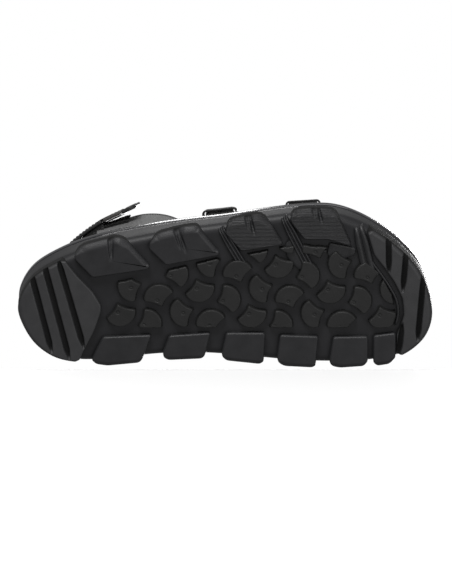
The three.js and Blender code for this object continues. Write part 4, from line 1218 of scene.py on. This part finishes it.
def fuzz(points, normals, height, radius, hooked):
    """Many short fibres: three-sided wires of six rings that rise along the normal and curl over
    sideways, right round for hooks and part way for loops. Each has its own seeded way and size."""
    count = len(points)
    t = np.linspace(0, 1, 6)
    spin = rng.uniform(0, 2 * np.pi, count)
    x = unit(np.cross(normals, (0.3, 0.2, 0.9)))
    lean = np.cos(spin)[:, None] * x + np.sin(spin)[:, None] * np.cross(normals, x)
    size = height * rng.uniform(0.7, 1.15, count)
    bend = (3.6 if hooked else 2.6) * t
    rise = np.sin(bend) / bend[-1] * 1.6 if hooked else np.sin(bend)
    rise = np.where(t == 0, 0, rise)
    rise[0] = 0
    aside = (1 - np.cos(bend)) * (0.28 if hooked else 0.55)
    line = (points[:, None] + (size[:, None] * rise)[..., None] * normals[:, None]
            + (size[:, None] * aside)[..., None] * lean[:, None])
    way = unit(np.gradient(line, axis=1))
    b = unit(np.cross(way, np.cross(normals, lean)[:, None]))
    c = np.cross(way, b)
    turn = np.arange(3) * 2 * np.pi / 3
    ring_points = (line[:, :, None] + radius * (np.cos(turn)[:, None] * b[:, :, None]
                                                + np.sin(turn)[:, None] * c[:, :, None]))
    faces = grid_faces(6, 3, closed=True)
    start = np.arange(count)[:, None, None] * 18
    caps = np.array([[2, 1, 0], [15, 16, 17]])
    return ring_points.reshape(-1, 3), [(faces + start).reshape(-1, 4), (caps + start).reshape(-1, 3)]


def build_loop_pile(on_form):
    """The loop patch on the lateral quarter: a thin backing and a field of fibre loops."""
    low, high = STRAP + GAP, STRAP + GAP + PILE
    share, out, rise = section(low, low + 0.5, 0.2, 12)
    y = np.linspace(66.5, 84.0, 30)[:, None]
    z = 67 + (share * 8.8 + out)
    new_piece("loop_backing", *tube(on_form(y, z, rise[None])), PILE_BASE, "pile", replaces=["loop_pile"])
    y = rng.uniform(66.0, 85.5, LOOP_FIBRES)
    z = rng.uniform(58.4, 76.4, LOOP_FIBRES)
    base = on_form(y, z, low + 0.2)
    normal = unit(on_form(y, z, high) - base)
    new_piece("loop_fibres", *fuzz(base, normal, 1.5, 0.15, False), PILE_BASE, "pile")


# ---- heel band and flap ------------------------------------------------------------------------------------

BAND_PLAN = [
    (39.6, 101), (33.5, 109), (24.5, 114.8), (12.5, 117), (-0.5, 112), (-10.6, 103.4), (-19.9, 92.3),
    (-26.6, 82.8),
]


def band_plan(medial_form):
    """Inner line of the heel band in plan: along the medial quarter, round the heel, to the free flap."""
    sewn = [(medial_form(y, BAND_MIDDLE, STRAP + GAP + 1)[0], y) for y in (40, 58, 76, 88)]
    return np.array(sewn + BAND_PLAN)


def band_place_for(plan):
    """The band's surface: the plan line, standing up and leaning in, with v along it and across up it."""
    def place(v, across, h):
        v, across, h = np.broadcast_arrays(np.asarray(v, float), across, h)
        point = spline(plan, v, False)
        ahead, behind = np.minimum(v + 1e-4, 1), np.maximum(v - 1e-4, 0)
        way = unit(spline(plan, ahead, False) - spline(plan, behind, False))
        lean = mix(0.17, 0.28, smooth(v, 0.3, 0.9))
        nx, ny = way[..., 1], -way[..., 0]
        normal = unit(vec(nx, ny, lean))
        base = vec(point[..., 0] - nx * lean * across, point[..., 1] - ny * lean * across,
                   BAND_MIDDLE + across)
        return base + normal * h[..., None]
    return place


def soften(piece, frames=20, pressure=4.0, cap=0.7):
    """Blows a pad up a little as cloth and applies the result; no point moves further than the cap."""
    rest = np.empty(len(piece.data.vertices) * 3, np.float32)
    piece.data.vertices.foreach_get("co", rest)
    cloth = piece.modifiers.new("cloth", "CLOTH")
    cloth.settings.use_pressure = True
    cloth.settings.uniform_pressure_force = pressure
    cloth.settings.effector_weights.gravity = 0
    cloth.settings.quality = 5
    cloth.point_cache.frame_start, cloth.point_cache.frame_end = 1, frames
    for f in range(1, frames + 1):
        bpy.context.scene.frame_set(f)
    evaluated = piece.evaluated_get(bpy.context.evaluated_depsgraph_get())
    moved = np.empty_like(rest)
    evaluated.data.vertices.foreach_get("co", moved)
    piece.modifiers.remove(cloth)
    step = (moved - rest).reshape(-1, 3)
    length = np.linalg.norm(step, axis=1, keepdims=True)
    step = step * np.minimum(1, cap * MM / np.maximum(length, 1e-9))
    piece.data.vertices.foreach_set("co", rest + step.ravel())
    piece.data.update()
    bpy.context.scene.frame_set(1)


def build_heel_band(plan):
    """The heel band, its padded lining, the pile lining at its free end and its stitching. The padded lining
    is a crowned closed pad with three sewn channels across it."""
    place = band_place_for(plan)
    half = BAND_HEIGHT / 2
    band = strip(place, (0.0, 1.0), 170, lambda v: half - 0.1, 0.02, BAND_THICKNESS - 0.02, 0.8,
                 flats=16)
    new_piece("heel_band", *band, LEATHER, "strap", replaces=["heel_strap"])
    share, out, rise = section(0, 1, 0.3, 22)
    v = np.linspace(0.42, 0.86, 110)[:, None]
    end = np.sqrt(1 - (np.abs(v - PAD_SEAMS[1]) / 0.2201) ** 6 * 0.92)
    sewn = 1 - 0.55 * sum(np.exp(-((v - m) / 0.006) ** 2) for m in PAD_SEAMS)
    crown = np.clip(1 - np.abs(share) ** 4 * 0.55, 0, 1)
    deep = 0.6 + (PAD_THICKNESS - 1.5) * end * crown * sewn
    h = -GAP - np.clip(rise, 0, 1) * deep
    across = share * (half - 2.6) * mix(0.9, 1, end) + out
    pad = new_piece("heel_pad_lining", *tube(place(v, across, h)), FELT, "lining", replaces=["heel_pad"])
    soften(pad)
    lining = strip(place, (0.865, 0.99), 60, lambda v: half - 1.6, -GAP - 2.0, -GAP + 0.2, 0.7)
    new_piece("band_end_pile", *lining, PILE_BASE, "pile")
    v = rng.uniform(0.868, 0.992, BAND_FIBRES)
    across = rng.uniform(-half + 1.2, half - 1.2, BAND_FIBRES)
    base = place(v, across, -GAP - 1.8)
    inward = unit(place(v, across, -4.0) - base)
    new_piece("band_end_fibres", *fuzz(base, inward, 2.1, 0.16, False), PILE_BASE, "pile")
    rows = []
    line = np.linspace(0.02, 0.985, 500)
    for side in (-1, 1):
        rows.append(stitches(place, (line, side * (half - 2.4)), BAND_THICKNESS, pitch=2.8))
    across_line = np.linspace(-half + 3, half - 3, 40)
    for v_at in (0.012, 0.028):
        rows.append(stitches(place, (v_at, across_line), BAND_THICKNESS, pitch=2.4))
    new_piece("heel_band_stitching", *together(rows), THREAD, "nylon")


def build_flap(plan):
    """The free end of the heel band: leather body, moulded grip, hook pad and the fold that joins it to
    the band."""
    point = spline(plan, np.array([1.0]), False)[0]
    way2 = unit(point - spline(plan, np.array([1 - 1e-4]), False)[0])
    way = np.array([way2[0], way2[1], 0])
    normal = unit(np.array([way[1], -way[0], 0.28]))
    up = unit(np.cross(way, normal))
    hinge = np.array([point[0], point[1], BAND_MIDDLE]) + normal * BAND_THICKNESS
    cos, sin = math.cos(FLAP_LIFT), math.sin(FLAP_LIFT)
    x, y = cos * way + sin * normal, -sin * way + cos * normal
    half = BAND_HEIGHT / 2
    body = FLAP_LENGTH - FLAP_TIP - FLAP_GAP

    def on_flap(v, across, h):
        v, across, h = np.broadcast_arrays(np.asarray(v, float), across, h)
        return hinge + v[..., None] * x + h[..., None] * y + across[..., None] * up

    leather_body = strip(on_flap, (FLAP_GAP, FLAP_GAP + body), 40, lambda v: half - 0.1,
                         -BAND_THICKNESS, 0, 0.8)
    new_piece("flap_leather", *leather_body, FLAP_LEATHER, "strap", body="flap", replaces=["heel_flap"])
    tip_from = FLAP_GAP + body + GAP

    def tip_half(v):
        from_end = np.clip((tip_from + FLAP_TIP - v) / 5, 0.001, 1)
        return half - 0.1 - 5 * (1 - np.sqrt(1 - (1 - from_end) ** 2))

    def on_tip(v, across, h):
        v, across, h = np.broadcast_arrays(np.asarray(v, float), across, h)
        inset = np.clip((np.abs(across) - half + 5.5) / 2, 0, 1)
        ribs = 0.28 * np.cos(2 * np.pi * (v - tip_from) / 1.9) * smooth(v - tip_from, 2.0, 2.6)
        ribs = ribs * smooth(tip_from + FLAP_TIP - 2.2 - v, 0, 0.6) * (1 - inset) * (h > -0.6)
        return on_flap(v, across, h - 0.25 + ribs * (h > -0.2))

    tip = strip(on_tip, (tip_from, tip_from + FLAP_TIP), 90, tip_half, -BAND_THICKNESS - 0.05, 0.3, 0.7,
                flats=30)
    new_piece("flap_grip_tip", *tip, NYLON, "grip", body="flap", replaces=["flap_grip"])
    low = -BAND_THICKNESS - GAP
    backing = strip(on_flap, (FLAP_GAP + 0.6, FLAP_GAP + body - 0.6), 24, lambda v: half - 2.8,
                    low - 0.45, low, 0.2)
    new_piece("hook_backing", *backing, HOOK_NYLON, "pile", body="flap", replaces=["hook_pile"])
    v, across = [a.ravel() for a in np.meshgrid(np.arange(FLAP_GAP + 1.2, FLAP_GAP + body - 1, 0.85),
                                                np.arange(-half + 3.2, half - 3, 0.85))]
    v = v + rng.uniform(-0.1, 0.1, v.shape)
    base = on_flap(v, across, low - 0.4)
    hooks = fuzz(base, np.broadcast_to(-y, base.shape), 0.85, 0.12, True)
    new_piece("hook_fibres", *hooks, HOOK_NYLON, "pile", body="flap")
    rows = []
    for side in (-1, 1):
        line = np.linspace(FLAP_GAP + 0.8, FLAP_GAP + body - 0.8, 60)
        rows.append(stitches(on_flap, (line, side * (half - 2.4)), 0.0, pitch=2.6))
    up_line = np.linspace(-half + 3.2, half - 3.2, 60)
    rows.append(stitches(on_flap, (FLAP_GAP + body - 1.4, up_line), 0.0, pitch=2.6))
    new_piece("flap_stitching", *together(rows), THREAD, "nylon", body="flap")

    before, after = 3.2, 3.6

    def on_fold(v, across, h):
        v, across, h = np.broadcast_arrays(np.asarray(v, float), across, h)
        back = hinge + v[..., None] * way + h[..., None] * normal + across[..., None] * up
        return np.where((v < 0)[..., None], back, on_flap(v, across, h))

    fold = strip(on_fold, (-before, after), 40, lambda v: half - 0.6, -0.35, 0.3, 0.25)
    piece = new_piece("flap_fold", *fold, LEATHER, "strap", body=None)
    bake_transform(piece)


# ---- footbed and midsole -----------------------------------------------------------------------------------

def bed_top(points, share):
    """Height of the bed's upper face: under the rim at its edge, dished as 1 - (1 - share)^2 towards the
    middle, with a low ridge under the toes and a small pad behind the ball."""
    x, y = points[..., 0], points[..., 1]
    z = rim_height(y) - BED_DROP - BED_DISH * (1 - (1 - share) ** 2)
    ridge = 1.7 * np.exp(-((y + 88 + 0.0022 * (x + 4) ** 2) / 5.5) ** 2) * smooth(share, 0.05, 0.4)
    pad = 1.4 * np.exp(-((y + 18) / 17) ** 2 - ((x + 1) / 13) ** 2)
    return z + ridge + pad * smooth(share, 0.1, 0.6)


def mirrored_shares(count):
    """Shares along the outline, from the heel's tip round and back, such that points k and count - k of the
    bed's edge have the same y. Along the sole y follows the cosine of the way round."""
    dense = np.arange(4000) / 4000
    y = ring(dense, BED_INSET)[:, 1]
    start = int(np.argmax(y))
    dense = (np.roll(dense, -start) - dense[start]) % 1.0 + dense[start]
    y = np.roll(y, -start)
    turn = int(np.argmin(y))
    stations = mix(y[turn], y[0], (1 + np.cos(np.pi * np.arange(count // 2 + 1) / (count // 2))) / 2)
    down = np.interp(-stations, -y[:turn + 1], dense[:turn + 1])
    back_y = np.append(y[turn:], y[0])
    back = np.interp(stations, back_y, np.append(dense[turn:], dense[0] + 1))
    return np.concatenate([down, back[-2:0:-1]])


def bed_rings(at, shares, lower):
    """Rings of the bed from its edge in to the middle line of the sole."""
    edge = ring(at, BED_INSET)
    middle = middle_line(edge, SOLE_WIDTH * 0.36)
    rings = []
    for share in shares:
        plan = mix(edge, middle, share)
        z = mix(bed_top(mix(edge, middle, share), share), bed_top(middle, share), smooth(share, 0.6, 1))
        rings.append(vec(*plan.T, z - lower))
    return rings


def build_bed():
    """The suede bed cover with its rounded edge and its border stitching, and the foam under it."""
    at = mirrored_shares(420)
    shares = np.linspace(0.035, 0.97, 46)
    top = bed_top(ring(at, BED_INSET), 0.0)
    turn = np.linspace(-np.pi / 2, np.pi / 2, 9)[1:-1]
    lip = [level_ring(at, BED_INSET + 0.9 - 0.9 * math.cos(t), top - 0.9 + 0.9 * math.sin(t)) for t in turn]
    rings = np.array(bed_rings(at, shares[::-1], COVER) + lip + bed_rings(at, shares, 0))
    new_piece("bed_suede", *tube(rings, bridged_ends=True), BED_SUEDE, "suede", replaces=["footbed_cover"])

    def on_bed(v, inset, h):
        plan = ring(v, inset)
        return vec(*plan.T, bed_top(plan, 0.06) + h)

    line = np.linspace(0.0, 0.999, 1500)
    new_piece("bed_stitching", *stitches(on_bed, (line, BED_INSET + 2.6), 0.05, pitch=3.4), THREAD, "nylon")
    inset = WALL + GAP
    rim = rim_height(outline(at)[:, 1])
    rings = [level_ring(at, inset + 1.4, CUP_FLOOR + GAP), level_ring(at, inset + 0.1, CUP_FLOOR + 6)]
    for i, drop in ((inset, -2.2), (inset + 0.2, -1.7), (inset + 0.8, -1.45), (BED_INSET - 2.2, -2.0),
                    (BED_INSET - 0.9, -2.9), (BED_INSET - GAP, -BED_DROP - COVER - GAP)):
        rings.append(level_ring(at, i, rim + drop))
    rings += bed_rings(at, (0.05, 0.2, 0.4, 0.6, 0.8, 0.96), COVER + GAP)
    new_piece("foam_midsole", *tube(np.array(rings), flat_ends=True), FOAM, "midsole_foam",
              replaces=["midsole"])


build_strap("toe", -54, 41, 32, 50, 44)
build_strap("instep", 3, 55, 33, 47, 40)
lateral_form = build_quarter("lateral", -1)
medial_form = build_quarter("medial", 1)
build_loop_pile(lateral_form)
heel_plan = band_plan(medial_form)
build_heel_band(heel_plan)
build_flap(heel_plan)
build_bed()
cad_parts["shank"].data.materials.clear()
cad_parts["shank"].data.materials.append(SHANK_NYLON)

# ---- stage and light ---------------------------------------------------------------------------------------

# Metres: half the size of the floor, and each light's place, aim and size; its power is in watts.
STAGE_HALF = 3
FLOOR_DROP = 0.0003
SIDE_DROP = 0.0005
SIDE_X = 0.0576
WORLD_LIGHT = 0.37
LIGHTS = {
    "lateral_light": ((-1.75, 0.35, -0.75), (0, 0, 0.01), 0.7, 42),
    "sole_light": ((-0.3, -0.9, -1.6), (0, 0, 0), 1.2, 14),
    "shade_light": ((-1.1, -0.1, 1.3), (0, 0, 0.03), 1.0, 4),
    "rim_light": ((-0.43, 0.17, 1.6), (0, 0, 0.03), 0.15, 1.0),
    "top_light": ((0.62, -0.45, 1.65), (0, 0, 0.03), 0.7, 40),
}


def one_sided(name, grey, glow):
    """A plain matt finish, a little self-lit, that shows only from its front."""
    made = material(name, 0.9, base_color=(grey, grey, grey, 1), specular_ior_level=0.1,
                    emission_color=(1, 1, 1, 1), emission_strength=glow)
    nodes, links = made.node_tree.nodes, made.node_tree.links
    clear = nodes.new("ShaderNodeBsdfTransparent")
    side = nodes.new("ShaderNodeNewGeometry")
    chosen = nodes.new("ShaderNodeMixShader")
    links.new(side.outputs["Backfacing"], chosen.inputs[0])
    links.new(nodes["Principled BSDF"].outputs[0], chosen.inputs[1])
    links.new(clear.outputs[0], chosen.inputs[2])
    links.new(chosen.outputs[0], nodes["Material Output"].inputs["Surface"])
    return made


def stage_sheet(name, corners, grey, glow):
    """A flat stage sheet through four corners in metres, which casts no shadow and lights nothing."""
    mesh = bpy.data.meshes.new(name)
    mesh.from_pydata(corners, [], [(0, 1, 2, 3)])
    mesh.materials.append(one_sided(name, grey, glow))
    sheet = bpy.data.objects.new(name, mesh)
    bpy.context.scene.collection.objects.link(sheet)
    sheet.visible_shadow = False
    sheet.visible_diffuse = False
    sheet.visible_glossy = False


def soft_light(name, place, aim, size, power):
    """A square white area light at a place, turned to an aim, both in metres."""
    data = bpy.data.lights.new(name, "AREA")
    data.shape = "SQUARE"
    data.size = size
    data.energy = power
    lamp = bpy.data.objects.new(name, data)
    lamp.location = place
    lamp.rotation_mode = "QUATERNION"
    lamp.rotation_quaternion = (Vector(place) - Vector(aim)).to_track_quat("Z", "Y")
    bpy.context.scene.collection.objects.link(lamp)


def build_stage():
    """A floor under the sole, seen only from above, and a sheet below the floor by its medial side, seen
    only from the lateral side. The world is white to the eye and dimmer as light. Of the five lights, a
    small one high on the lateral side draws the bright line along the rim."""
    half = STAGE_HALF
    floor = [(-half, -half), (half, -half), (half, half), (-half, half)]
    stage_sheet("floor", [(x, y, -FLOOR_DROP) for x, y in floor], 0.75, 0.3)
    side = [(-half, -half), (-half, -SIDE_DROP), (half, -SIDE_DROP), (half, -half)]
    stage_sheet("side_sheet", [(SIDE_X, y, z) for y, z in side], 0.77, 0.0)
    world = bpy.data.worlds.new("studio")
    world.use_nodes = True
    nodes, links = world.node_tree.nodes, world.node_tree.links
    light = nodes["Background"]
    light.inputs["Color"].default_value = (1, 1, 1, 1)
    light.inputs["Strength"].default_value = WORLD_LIGHT
    backdrop = nodes.new("ShaderNodeBackground")
    backdrop.inputs["Color"].default_value = (1, 1, 1, 1)
    path = nodes.new("ShaderNodeLightPath")
    seen = nodes.new("ShaderNodeMixShader")
    links.new(path.outputs["Is Camera Ray"], seen.inputs[0])
    links.new(light.outputs[0], seen.inputs[1])
    links.new(backdrop.outputs[0], seen.inputs[2])
    links.new(seen.outputs[0], nodes["World Output"].inputs["Surface"])
    bpy.context.scene.world = world
    for name, (place, aim, size, power) in LIGHTS.items():
        soft_light(name, place, aim, size, power)
    bpy.context.scene.view_settings.view_transform = "Standard"


build_stage()
